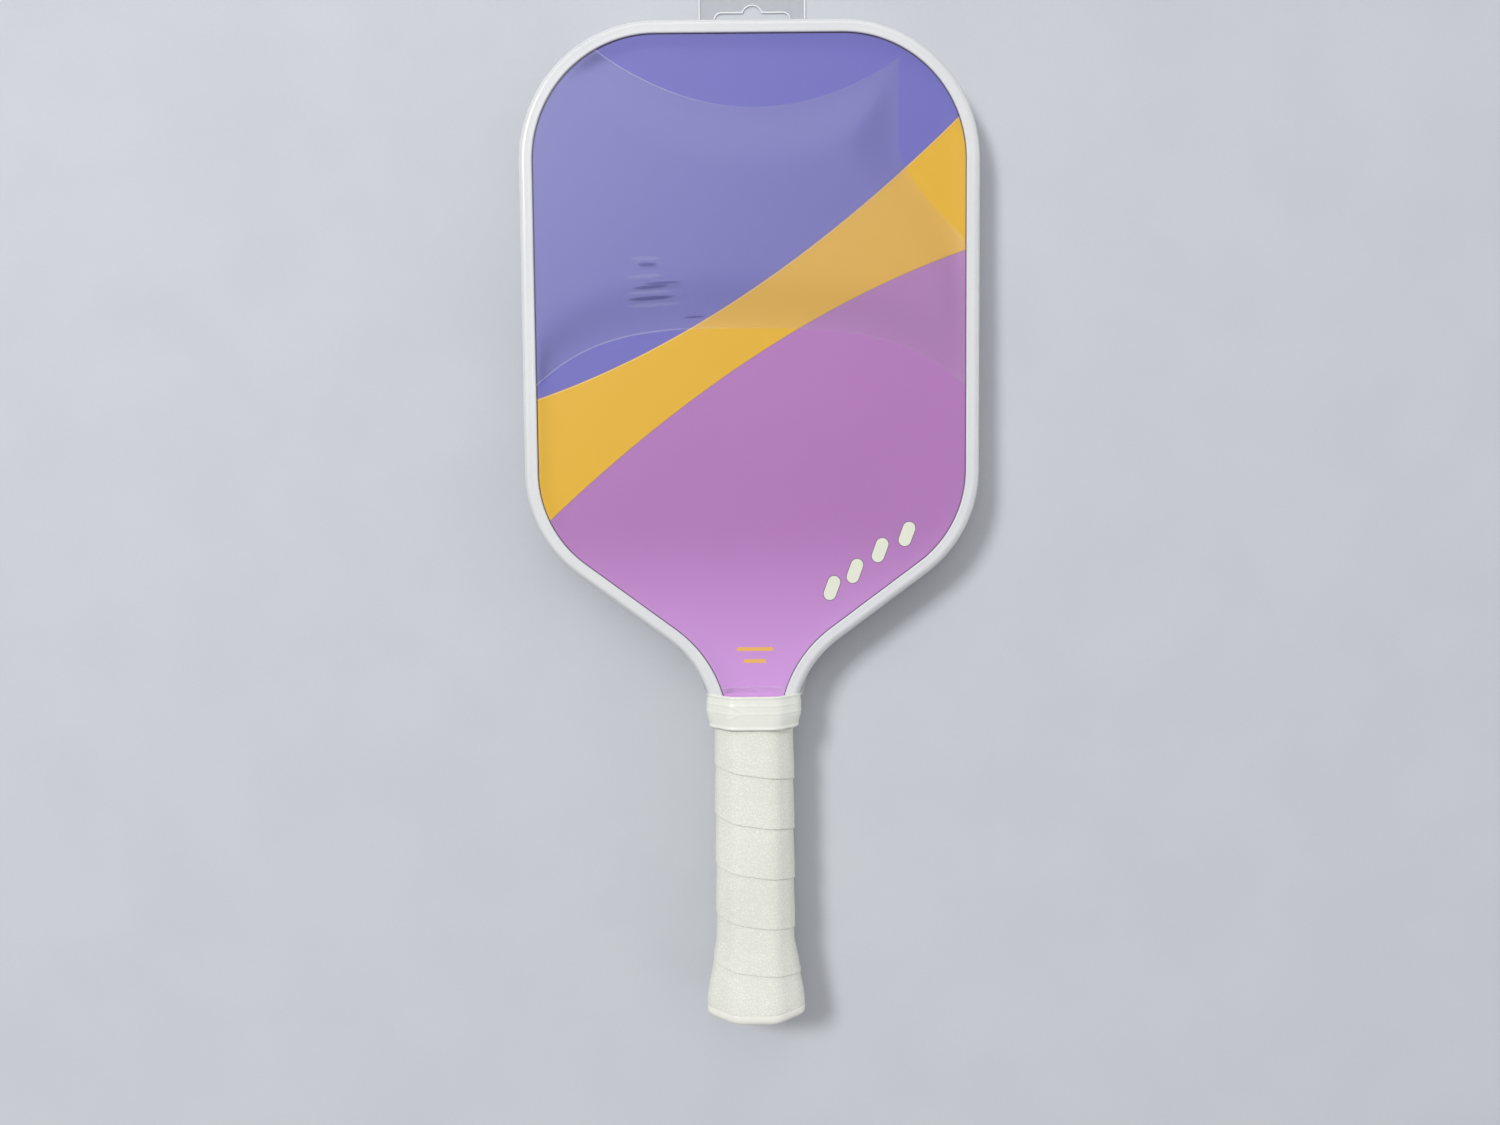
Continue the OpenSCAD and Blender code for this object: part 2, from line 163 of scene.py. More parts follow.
@dataclass
class Shape:
    """Vertices in metres and faces of one closed surface, before it becomes a piece."""

    points: np.ndarray
    faces: list = field(default_factory=list)

    @classmethod
    def slab(cls, top: np.ndarray, bottom: np.ndarray) -> "Shape":
        """A thin body between two grids of points: both grids and a wall round their border."""
        rows, cols = top.shape[:2]
        count = rows * cols
        quads = grid_faces(rows, cols)
        edge = border(rows, cols)
        after = np.roll(edge, -1)
        wall = np.stack([edge, after, after + count, edge + count], axis=-1)
        points = np.concatenate([top.reshape(-1, 3), bottom.reshape(-1, 3)])
        return cls(points, np.concatenate([quads, quads[:, ::-1] + count, wall]).tolist())

    @classmethod
    def tube(cls, points: np.ndarray, ends: bool = True, ring: bool = False) -> "Shape":
        """Rows of points, each row a closed section, joined one to the next.

        Args:
            points: array of rows x columns x 3.
            ends: closes the first and last section with a flat face.
            ring: joins the last section to the first.
        """
        rows, cols = points.shape[:2]
        faces = grid_faces(rows, cols, close_rows=ring, close_cols=True).tolist()
        if ends and not ring:
            faces.append(list(range(cols))[::-1])
            faces.append([(rows - 1) * cols + c for c in range(cols)])
        return cls(points.reshape(-1, 3), faces)

    @classmethod
    def joined(cls, shapes: Iterable["Shape"]) -> "Shape":
        """Several closed bodies as one shape."""
        points, faces, count = [], [], 0
        for shape in shapes:
            points.append(shape.points)
            faces += [[v + count for v in face] for face in shape.faces]
            count += len(shape.points)
        return cls(np.concatenate(points), faces)

    def piece(self, name: str, finish: "Finish", slot: str, replaces: Sequence[str] = (),
              sharp: float = 35.0, weld: float = 2e-6) -> bpy.types.Object:
        """Writes the mesh, merges points that meet, turns its faces out and dresses it.

        Args:
            name: name of the piece.
            finish: its material.
            slot: not used.
            replaces: CAD nodes that it stands for.
            sharp: edges sharper than this angle in degrees stay crisp.
            weld: distance in metres below which points are merged.

        Returns:
            The object, riding on the paddle's one body.
        """
        mesh = bpy.data.meshes.new(name)
        mesh.from_pydata(self.points, [], self.faces)
        work = bmesh.new()
        work.from_mesh(mesh)
        bmesh.ops.remove_doubles(work, verts=work.verts, dist=weld)
        bmesh.ops.dissolve_degenerate(work, edges=work.edges, dist=weld / 4)
        bmesh.ops.recalc_face_normals(work, faces=work.faces)
        work.to_mesh(mesh)
        work.free()
        mesh.shade_smooth()
        mesh.set_sharp_from_angle(angle=math.radians(sharp))
        obj = link(name, mesh)
        mesh.materials.append(finish.material())
        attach(obj, BODY)
        if replaces:
            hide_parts(*replaces)
        LOG.info("%s: %d faces", name, len(mesh.polygons))
        return obj


# ---------------------------------------------------------------- outlines and sections


@dataclass(frozen=True)
class HeadOutline:
    """Outer edge of the edge guard: a flat top, a top arc, a straight side, a shoulder arc,
    a straight run and a hollow throat arc on each side."""

    half_w: float = 95.25
    top_r: float = 57.0
    shoulder_r: float = 53.7
    shoulder_s: float = 184.7
    turn: float = math.radians(53.4)
    run: float = 46.9
    throat_r: float = 47.2

    @property
    def top_x(self) -> float:
        """x of the top arc's centre."""
        return self.half_w - self.top_r

    @property
    def shoulder_x(self) -> float:
        """x of the shoulder arc's centre."""
        return self.half_w - self.shoulder_r

    @property
    def out(self) -> np.ndarray:
        """Outward direction of the straight run, as (x, s)."""
        return np.array([math.cos(self.turn), math.sin(self.turn)])

    @property
    def along(self) -> np.ndarray:
        """Direction of the straight run towards the throat, as (x, s)."""
        return np.array([-math.sin(self.turn), math.cos(self.turn)])

    @property
    def run_start(self) -> np.ndarray:
        """Where the shoulder arc meets the run, as (x, s)."""
        return np.array([self.shoulder_x, self.shoulder_s]) + self.shoulder_r * self.out

    @property
    def throat(self) -> np.ndarray:
        """Centre of the throat arc, as (x, s)."""
        return self.run_start + self.run * self.along + self.throat_r * self.out

    def half_edge(self, inset: np.ndarray, end_s: float) -> tuple[np.ndarray, np.ndarray]:
        """Right-hand edge moved inwards, from the middle of the top to the line s = end_s.

        Each arc keeps its centre and changes its radius by the inset, which is what a curve
        at a constant distance does; the straights move along their normals.

        Args:
            inset: distances in millimetres, of shape (k,).
            end_s: where the throat arc stops.

        Returns:
            x and s, each of shape (k, stations).
        """
        d = np.asarray(inset, dtype=float).reshape(-1, 1)
        full = np.ones_like(d)
        top = np.linspace(0, 1, 13)[:-1] * self.top_x
        a = np.linspace(0, math.pi / 2, 41)[:-1]
        side = np.linspace(self.top_r, self.shoulder_s, 21)[:-1]
        b = np.linspace(0, self.turn, 31)[:-1]
        c = np.linspace(0, 1, 9)[:-1] * self.run
        reach = np.arcsin((self.throat[1] - end_s) / (self.throat_r + d))
        e = self.turn + (reach - self.turn) * np.linspace(0, 1, 25)
        start = self.run_start[:, None, None] - d * self.out[:, None, None]
        x = np.concatenate([
            full * top,
            self.top_x + (self.top_r - d) * np.sin(a),
            (self.half_w - d) * np.ones_like(side),
            self.shoulder_x + (self.shoulder_r - d) * np.cos(b),
            start[0] + c * self.along[0],
            self.throat[0] - (self.throat_r + d) * np.cos(e),
        ], axis=1)
        s = np.concatenate([
            d * np.ones_like(top),
            self.top_r - (self.top_r - d) * np.cos(a),
            full * side,
            self.shoulder_s + (self.shoulder_r - d) * np.sin(b),
            start[1] + c * self.along[1],
            self.throat[1] - (self.throat_r + d) * np.sin(e),
        ], axis=1)
        return x, s

    def loop(self, inset: np.ndarray, end_s: float) -> tuple[np.ndarray, np.ndarray]:
        """Both edges as one path, from the left end of the throat over the top to the right."""
        x, s = self.half_edge(inset, end_s)
        return (np.concatenate([-x[:, :0:-1], x], axis=1),
                np.concatenate([s[:, :0:-1], s], axis=1))

    def top(self, x: np.ndarray, inset: float) -> np.ndarray:
        """s of the top edge above each x."""
        r = self.top_r - inset
        over = np.maximum(np.abs(x) - self.top_x, 0.0)
        return self.top_r - np.sqrt(np.maximum(r * r - over * over, 0.0))

    def bottom(self, x: np.ndarray, inset: float, end_s: float) -> np.ndarray:
        """s of the bottom edge below each x, cut off square at end_s."""
        w = np.abs(x)
        start = self.run_start - inset * self.out
        finish = start + self.run * self.along
        r, t = self.shoulder_r - inset, self.throat_r + inset
        arc = self.shoulder_s + np.sqrt(
            np.maximum(r * r - np.maximum(w - self.shoulder_x, 0.0) ** 2, 0.0))
        line = start[1] + (w - start[0]) * self.along[1] / self.along[0]
        hollow = self.throat[1] - np.sqrt(np.maximum(t * t - (self.throat[0] - w) ** 2, 0.0))
        s = np.where(w >= start[0], arc, np.where(w >= finish[0], line, hollow))
        return np.minimum(s, end_s)

    def neck_x(self, inset: float, end_s: float) -> float:
        """Half width of the neck at end_s."""
        t = self.throat_r + inset
        return self.throat[0] - math.sqrt(t * t - (self.throat[1] - end_s) ** 2)

    def columns(self, inset: float, end_s: float, across: int = 17, round_: int = 31
                ) -> np.ndarray:
        """x of columns that follow the round corners closely: even over the flat top, and at
        even angles round the top arc, with the neck's corner among them."""
        flat = np.linspace(0, self.top_x, across)
        arc = self.top_x + (self.top_r - inset) * np.sin(np.linspace(0, math.pi / 2, round_))
        neck = self.neck_x(inset, end_s)
        half = np.concatenate([flat, arc[1:]])
        half = np.append(half[np.abs(half - neck) > 0.7], neck)
        half.sort()
        return np.concatenate([-half[:0:-1], half])

    def depth(self, x: np.ndarray, s: np.ndarray) -> np.ndarray:
        """Distance inside the outer edge, from the nearest arc or straight."""
        w = np.abs(x)
        top = np.where((w > self.top_x) & (s < self.top_r),
                       self.top_r - np.hypot(w - self.top_x, self.top_r - s),
                       np.minimum(s, self.half_w - w))
        low = np.where(s > self.shoulder_s,
                       self.shoulder_r - np.hypot(np.maximum(w - self.shoulder_x, 0.0),
                                                  s - self.shoulder_s),
                       self.half_w - w)
        dx, ds = w - self.run_start[0], s - self.run_start[1]
        gone = dx * self.along[0] + ds * self.along[1]
        straight = -(dx * self.out[0] + ds * self.out[1])
        hollow = np.hypot(w - self.throat[0], s - self.throat[1]) - self.throat_r
        low = np.where(gone < 0, np.where(w > self.shoulder_x, low, straight),
                       np.where(gone < self.run, straight, hollow))
        return np.minimum(top, low)

    def outward(self, x: np.ndarray, s: np.ndarray) -> tuple[np.ndarray, np.ndarray]:
        """Outward direction of the edge near each point: the falling slope of depth."""
        e = 0.01
        gx = (self.depth(x + e, s) - self.depth(x - e, s)) / (2 * e)
        gs = (self.depth(x, s + e) - self.depth(x, s - e)) / (2 * e)
        size = np.maximum(np.hypot(gx, gs), 1e-6)
        return -gx / size, -gs / size


def inset_sizes(sizes: np.ndarray, d: np.ndarray) -> np.ndarray:
    """Moves the walls of octagonal sections in.

    Width and thickness shrink by twice the distance. A facet shrinks by twice the distance
    times its corner's share: the slant facet's length less its run along that facet, over
    its run across it.

    Args:
        sizes: array of shape (..., 4) of width, thickness, front facet and side facet.
        d: distances that broadcast with the leading axes.

    Returns:
        The new sizes, of shape (..., 4).
    """
    dx, dz = (sizes[..., 0] - sizes[..., 2]) / 2, (sizes[..., 1] - sizes[..., 3]) / 2
    slant = np.hypot(dx, dz)
    return np.stack([sizes[..., 0] - 2 * d, sizes[..., 1] - 2 * d,
                     sizes[..., 2] - 2 * d * (slant - dx) / dz,
                     sizes[..., 3] - 2 * d * (slant - dz) / dx], axis=-1)


def octagon(sizes: np.ndarray, soft: float, corner: int = 7, flat: int = 8) -> np.ndarray:
    """Octagons with softened corners, starting at the middle of the front facet and going
    round by the right-hand side.

    Every corner is a quadratic curve between two points that lie soft away from it on its
    two facets, and the facets between the corners are divided evenly.

    Args:
        sizes: array of shape (..., 4) of width, thickness, front facet and side facet.
        soft: how far from the corner its curve starts.
        corner: points on each corner.
        flat: points inside each facet.

    Returns:
        Array of shape (..., 8 * (corner + flat), 2) of x and h.
    """
    w, t, f, g = (sizes[..., k] / 2 for k in range(4))
    ring = [(f, t), (w, g), (w, -g), (f, -t), (-f, -t), (-w, -g), (-w, g), (-f, t)]
    points = np.stack([np.stack(p, axis=-1) for p in ring], axis=-2)
    before, after = np.roll(points, 1, axis=-2), np.roll(points, -1, axis=-2)

    def toward(other: np.ndarray) -> np.ndarray:
        step = other - points
        length = np.linalg.norm(step, axis=-1, keepdims=True)
        return points + step * np.minimum(soft / length, 0.45)

    a, b = toward(before), toward(after)
    u = np.linspace(0, 1, corner)[:, None]
    curves = (a[..., None, :] * (1 - u) ** 2 + points[..., None, :] * 2 * u * (1 - u)
              + b[..., None, :] * u ** 2)
    v = (np.arange(flat) + 1)[:, None] / (flat + 1)
    next_a = np.roll(a, -1, axis=-2)
    lines = b[..., None, :] * (1 - v) + next_a[..., None, :] * v
    both = np.concatenate([curves, lines], axis=-2)
    loop = both.reshape(*both.shape[:-3], -1, 2)
    return np.roll(loop, (flat + 1) // 2, axis=-2)


# sections over the tape: width, thickness, front facet and side facet
GRIP = np.array([34.2, 29.5, 17.0, 11.8])
BUTT = np.array([42.3, 33.0, 18.3, 11.8])
# down the paddle: the flare's two ends, the tape's top end, its end at the rim, the butt
FLARE_S, FLARE_END_S = 387.0, 411.0
TAPE_S, RIM_S, TOTAL_S = 284.9, 414.5, 419.1


def flared(s: np.ndarray) -> np.ndarray:
    """Sizes of the wrapped handle at s: the grip's section, growing in a straight line into
    the butt's between the two ends of the flare."""
    f = np.clip((np.asarray(s, dtype=float) - FLARE_S) / (FLARE_END_S - FLARE_S), 0, 1)
    return GRIP + (BUTT - GRIP) * f[..., None]


# ---------------------------------------------------------------- shader helpers


def operation(name: str, turned: bool = False) -> Callable[..., "Wire"]:
    """A method of Wire that adds one arithmetic node; turned puts the other value first."""

    def apply(self: "Wire", *other: object) -> "Wire":
        return self.graph.maths(name, *((*other, self) if turned else (self, *other)))

    return apply


@dataclass(frozen=True)
class Wire:
    """One output in a node tree. Arithmetic on it adds the nodes that work it out."""

    graph: "Graph"
    socket: bpy.types.NodeSocket

    __add__ = __radd__ = operation("ADD")
    __sub__, __rsub__ = operation("SUBTRACT"), operation("SUBTRACT", turned=True)
    __mul__ = __rmul__ = operation("MULTIPLY")
    __truediv__ = operation("DIVIDE")
    __pow__ = operation("POWER")
    __abs__ = operation("ABSOLUTE")
    smaller = operation("MINIMUM")
    larger = operation("MAXIMUM")


class Graph:
    """Adds and joins nodes in one tree."""

    def __init__(self, tree: bpy.types.NodeTree) -> None:
        """Takes the tree to build in."""
        self.tree = tree

    def add(self, kind: str, inputs: dict | None = None, **settings) -> bpy.types.Node:
        """Adds a node.

        Args:
            kind: its type, without the ShaderNode prefix.
            inputs: values or wires for its inputs, by name or number.
            settings: its own properties.

        Returns:
            The node.
        """
        prefix = "" if kind.startswith("Node") else "ShaderNode"
        node = self.tree.nodes.new(prefix + kind)
        for key, value in settings.items():
            setattr(node, key, value)
        for key, value in (inputs or {}).items():
            self.feed(node.inputs[key], value)
        return node

    def feed(self, socket: bpy.types.NodeSocket, value: object) -> None:
        """Links a wire to an input or sets a value on it."""
        if isinstance(value, Wire):
            self.tree.links.new(value.socket, socket)
        else:
            socket.default_value = value

    def wire(self, output: int | str, kind: str, inputs: dict | None = None, **settings) -> Wire:
        """Adds a node as add does and returns one of its outputs."""
        return Wire(self, self.add(kind, inputs, **settings).outputs[output])

    def maths(self, name: str, *terms: object, clamp: bool = False) -> Wire:
        """One step of arithmetic on numbers or wires."""
        return self.wire(0, "Math", dict(enumerate(terms)), operation=name, use_clamp=clamp)

    def ramp(self, value: object, low: float, high: float) -> Wire:
        """0 below low and 1 above high, with a smooth rise between."""
        return self.wire("Result", "MapRange", {"Value": value, "From Min": low, "From Max": high},
                         interpolation_type="SMOOTHSTEP")

    def mix(self, factor: object, a: object, b: object) -> Wire:
        """Mixes two colours."""
        return self.wire(2, "Mix", {0: factor, 6: a, 7: b}, data_type="RGBA")

    def place(self) -> Wire:
        """Object coordinates, which are the frame's own metres on every piece."""
        return self.wire("Object", "TexCoord")

    def axes(self) -> list[Wire]:
        """x, y and z of the place, in metres."""
        split = self.add("SeparateXYZ", {0: self.place()})
        return [Wire(self, socket) for socket in split.outputs]

    def spot(self, top_y: float) -> tuple[Wire, Wire, Wire]:
        """x and s of the place in millimetres, and its z in metres."""
        x, y, z = self.axes()
        return x * 1000.0, top_y - y * 1000.0, z

    def noise(self, scale: object, detail: float = 4.0, roughness: float = 0.5) -> Wire:
        """Value of a noise texture in object space."""
        return self.wire(0, "TexNoise", {"Vector": self.place(), "Scale": scale,
                                         "Detail": detail, "Roughness": roughness})

    def bump(self, height: Wire, depth: float) -> Wire:
        """The normal of a relief whose full height is depth in millimetres."""
        return self.wire(0, "Bump", {"Strength": 1.0, "Distance": depth * MM, "Height": height})


class Effect(Enum):
    """Shader node groups that several finishes share."""

    MOTTLE = "soft_mottle"
    GRAIN = "fine_grain"
    PEBBLES = "leather_pebbles"
    WEAVE = "plain_weave"
    DUST = "dust_specks"

    def group(self) -> bpy.types.NodeTree:
        """The group's tree, built the first time it is asked for."""
        ready = bpy.data.node_groups.get(self.value)
        return ready or getattr(EffectMaker(self.value), self.name.lower())()


class EffectMaker:
    """Builds one node group: inputs, the pattern and outputs."""

    def __init__(self, name: str) -> None:
        """Makes the empty group."""
        self.tree = bpy.data.node_groups.new(name, "ShaderNodeTree")
        self.graph = Graph(self.tree)

    def _open(self, **inputs: float | tuple) -> list[Wire]:
        for name, value in inputs.items():
            kind = "NodeSocketColor" if isinstance(value, tuple) else "NodeSocketFloat"
            socket = self.tree.interface.new_socket(name.replace("_", " "), in_out="INPUT",
                                                    socket_type=kind)
            socket.default_value = value
        inside = self.graph.add("NodeGroupInput")
        return [Wire(self.graph, inside.outputs[number]) for number in range(len(inputs))]

    def _close(self, **outputs: Wire) -> bpy.types.NodeTree:
        for name in outputs:
            kind = "NodeSocketColor" if name == "Colour" else "NodeSocketFloat"
            self.tree.interface.new_socket(name, in_out="OUTPUT", socket_type=kind)
        self.graph.add("NodeGroupOutput", outputs)
        return self.tree

    def mottle(self) -> bpy.types.NodeTree:
        """Two colours mixed by a slow noise and a fine one, for moulded and printed faces."""
        g = self.graph
        colour, other, slow, fine, share = self._open(
            Colour=(0.8, 0.8, 0.8, 1.0), Other=(0.7, 0.7, 0.7, 1.0),
            Slow_Scale=20.0, Fine_Scale=900.0, Fine_Share=0.3)
        mask = (g.ramp(g.noise(slow, 3.0), 0.3, 0.7) * (1.0 - share)
                + g.ramp(g.noise(fine, 2.0), 0.3, 0.7) * share)
        return self._close(Colour=g.mix(mask, colour, other), Mask=mask)

    def grain(self) -> bpy.types.NodeTree:
        """Height of a fine irregular grain and a slower waviness under it."""
        g = self.graph
        scale, wave_scale, wave = self._open(Scale=1500.0, Wave_Scale=60.0, Wave=0.3)
        return self._close(Height=g.noise(scale, 3.0, 0.6) + g.noise(wave_scale, 2.0) * wave)

    def pebbles(self) -> bpy.types.NodeTree:
        """Rounded cells of uneven size with creases between them, and a mask for painted shade in
        the creases.
        """
        g = self.graph
        scale, stretch = self._open(Scale=700.0, Stretch=0.25)
        wobble = g.wire("Color", "TexNoise", {"Vector": g.place(), "Scale": 500.0, "Detail": 2.0})
        shift = g.wire(0, "VectorMath", {0: wobble, 1: (0.0012, 0.0012, 0.0012)},
                       operation="MULTIPLY")
        moved = g.wire(0, "VectorMath", {0: g.place(), 1: shift}, operation="ADD")
        edge = g.wire("Distance", "TexVoronoi", {"Vector": moved, "Scale": scale},
                      feature="DISTANCE_TO_EDGE")
        dome = g.ramp(edge, 0.0, 0.28)
        return self._close(Height=dome + g.noise(1500.0, 2.0) * stretch, Crease=1.0 - dome)

    def weave(self) -> bpy.types.NodeTree:
        """Plain weave: crossed sine ridges along x and y, over and under each other."""
        g = self.graph
        scale, = self._open(Scale=1600.0)
        x, y, _ = g.axes()
        along, across = g.maths("SINE", x * scale), g.maths("SINE", y * scale)
        return self._close(Height=abs(along * across) ** 0.5,
                           Shade=g.ramp(along + across, -2.0, 2.0))

    def dust(self) -> bpy.types.NodeTree:
        """Sparse small specks and faint rubbed patches."""
        g = self.graph
        scale, amount = self._open(Scale=260.0, Amount=0.2)
        middle = g.wire("Distance", "TexVoronoi", {"Vector": g.place(), "Scale": scale},
                        feature="F1")
        specks = (1.0 - g.ramp(middle, 0.04, 0.11)) * g.ramp(g.noise(45.0, 4.0), 0.5, 0.75)
        return self._close(Mask=g.maths("MULTIPLY", specks, amount, clamp=True))


# ---------------------------------------------------------------- finishes


class Texture(Enum):
    """Surface relief that a finish can carry."""

    GRAIN = "grain"
    PEBBLES = "pebbles"
    WEAVE = "weave"


@dataclass(frozen=True)
class Finish:
    """An opaque finish: two close colours, a relief, and the way its gloss varies."""

    name: str
    colour: Colour
    other: Colour
    roughness: float = 0.45
    gloss_spread: float = 0.08
    texture: Texture = Texture.GRAIN
    scale: float = 1500.0
    depth: float = 0.02
    slow: float = 20.0
    fine: float = 900.0
    wave: float = 0.3
    dust: float = 0.15
    metallic: float = 0.0
    crease: float = 0.0
    coat: float = 0.0
    specular: float = 0.5

    def material(self) -> bpy.types.Material:
        """The finish's material, built the first time it is asked for."""
        ready = bpy.data.materials.get(self.name)
        if ready:
            return ready
        made = bpy.data.materials.new(self.name)
        made.use_nodes = True
        made.node_tree.nodes.clear()
        self.build(Graph(made.node_tree))
        return made

    def effect(self, g: Graph, effect: Effect, **inputs: object) -> dict[str, Wire]:
        """Places one of the shared groups with this finish's own values."""
        node = g.add("Group", {name.replace("_", " "): value for name, value in inputs.items()},
                     node_tree=effect.group())
        return {socket.name: Wire(g, socket) for socket in node.outputs}

    def tone(self, g: Graph, colour: Wire) -> Wire:
        """The colour as it is; finishes that change along the paddle change it here."""
        return colour

    def build(self, g: Graph) -> None:
        """Colour from the mottle, painted shade in creases and the dust, gloss from the mask,
        relief as a bump.
        """
        mottle = self.effect(g, Effect.MOTTLE, Colour=linear(self.colour),
                             Other=linear(self.other), Slow_Scale=self.slow,
                             Fine_Scale=self.fine)
        dust = self.effect(g, Effect.DUST, Amount=self.dust)["Mask"]
        colour = self.tone(g, mottle["Colour"])
        if self.texture is Texture.PEBBLES:
            relief = self.effect(g, Effect.PEBBLES, Scale=self.scale, Stretch=0.3)
            # painted shade: the pebbles' creases are darkened
            dark = tuple(0.72 * c for c in linear(self.other)[:3]) + (1.0,)
            colour = g.mix(relief["Crease"] * self.crease, colour, dark)
        elif self.texture is Texture.WEAVE:
            relief = self.effect(g, Effect.WEAVE, Scale=self.scale)
            # painted shade on the weave's threads, by its Shade mask
            colour = g.mix(relief["Shade"] * self.crease, colour, linear(self.other))
        else:
            relief = self.effect(g, Effect.GRAIN, Scale=self.scale, Wave=self.wave)
        gloss = mottle["Mask"] * self.gloss_spread + (self.roughness - self.gloss_spread / 2)
        shader = g.wire(0, "BsdfPrincipled", {
            "Base Color": g.mix(dust, colour, linear(DUST)), "Roughness": gloss,
            "Metallic": self.metallic, "Normal": g.bump(relief["Height"], self.depth),
            "Coat Weight": self.coat, "Coat Roughness": 0.12,
            "Specular IOR Level": self.specular})
        g.add("OutputMaterial", {0: shader})


@dataclass(frozen=True)
class GlowPaintedFinish(Finish):
    """Print with painted light: lighter towards the neck, as where a broad glow falls on it."""

    glow_tint: Colour = (206, 153, 218)
    top_y: float = 0.0
    start_s: float = 200.0
    end_s: float = 280.0

    def tone(self, g: Graph, colour: Wire) -> Wire:
        """Mixes in the lighter colour of the painted glow smoothly between two places down the
        paddle.
        """
        _, s, _ = g.spot(self.top_y)
        return g.mix(g.ramp(s, self.start_s, self.end_s), colour, linear(self.glow_tint))


@dataclass(frozen=True)
class ClearFinish(Finish):
    """Clear plastic: light passes straight through, with a gloss and a thin grey tint."""

    tint: float = 0.06
    glare: float = 0.5

    def layers(self, g: Graph) -> tuple[Wire, object, object]:
        """The share of the body seen in place of what lies behind, the body's colour and
        the strength of the gloss."""
        dust = self.effect(g, Effect.DUST, Scale=300.0, Amount=0.2)["Mask"]
        return g.maths("ADD", self.tint, dust, clamp=True), linear(self.colour), self.glare

    def build(self, g: Graph) -> None:
        """A clear layer mixed with a pale body by the tint, under a glossy layer by angle.

        The relief is the slow waviness of a sheet.
        """
        grain = self.effect(g, Effect.GRAIN, Scale=70.0, Wave_Scale=16.0, Wave=self.wave)
        normal = g.bump(grain["Height"], self.depth)
        share, colour, glare = self.layers(g)
        clear = g.wire(0, "BsdfTransparent", {"Color": WHITE})
        body = g.wire(0, "BsdfPrincipled", {"Base Color": colour, "Roughness": 0.6,
                                            "Normal": normal})
        seen = g.wire(0, "MixShader", {0: share, 1: clear, 2: body})
        shine = g.wire(0, "BsdfGlossy", {"Color": WHITE, "Roughness": self.roughness,
                                         "Normal": normal})
        weight = g.wire(0, "Fresnel", {"IOR": 1.45, "Normal": normal}) * glare
        g.add("OutputMaterial", {0: g.wire(0, "MixShader", {0: weight, 1: seen, 2: shine})})


@dataclass(frozen=True)
class Streak:
    """A short mark on the sleeve: its middle, half length, half width and lean."""

    x: float
    s: float
    reach: float
    width: float
    lean: float = 0.0

    def mask(self, g: Graph, x: Wire, s: Wire) -> Wire:
        """1 in the middle and 0 outside an ellipse that leans with the mark."""
        dx = x - self.x
        ds = s - self.s - dx * self.lean
        return 1.0 - g.ramp((dx / self.reach) ** 2.0 + (ds / self.width) ** 2.0, 0.3, 1.0)


def cling_lines(x: Any, s: Any, rise: Any) -> tuple[Any, Any, Any]:
    """How far a point is on the loose side of each line where the sleeve meets the print.

    The first line is a parabola near the top, the second a flat curve of the fourth degree
    across the middle, and the third slants along the right.

    Args:
        x, s: the point, as arrays or wires.
        rise: the smooth rise from 0 to 1 between the third line's two ends, RISE.

    Returns:
        Three distances along s, s and x, above 0 where the sleeve stands off.
    """
    upper = s - 35.7 + (x - 2.6) * (x - 2.6) * 0.00546
    lower = x * x * 0.00064 + x * x * (x * x) * 3.0e-7 + x * 0.0096 + 125.0 - s
    return upper, lower, rise * 38.0 + 62.0 - x


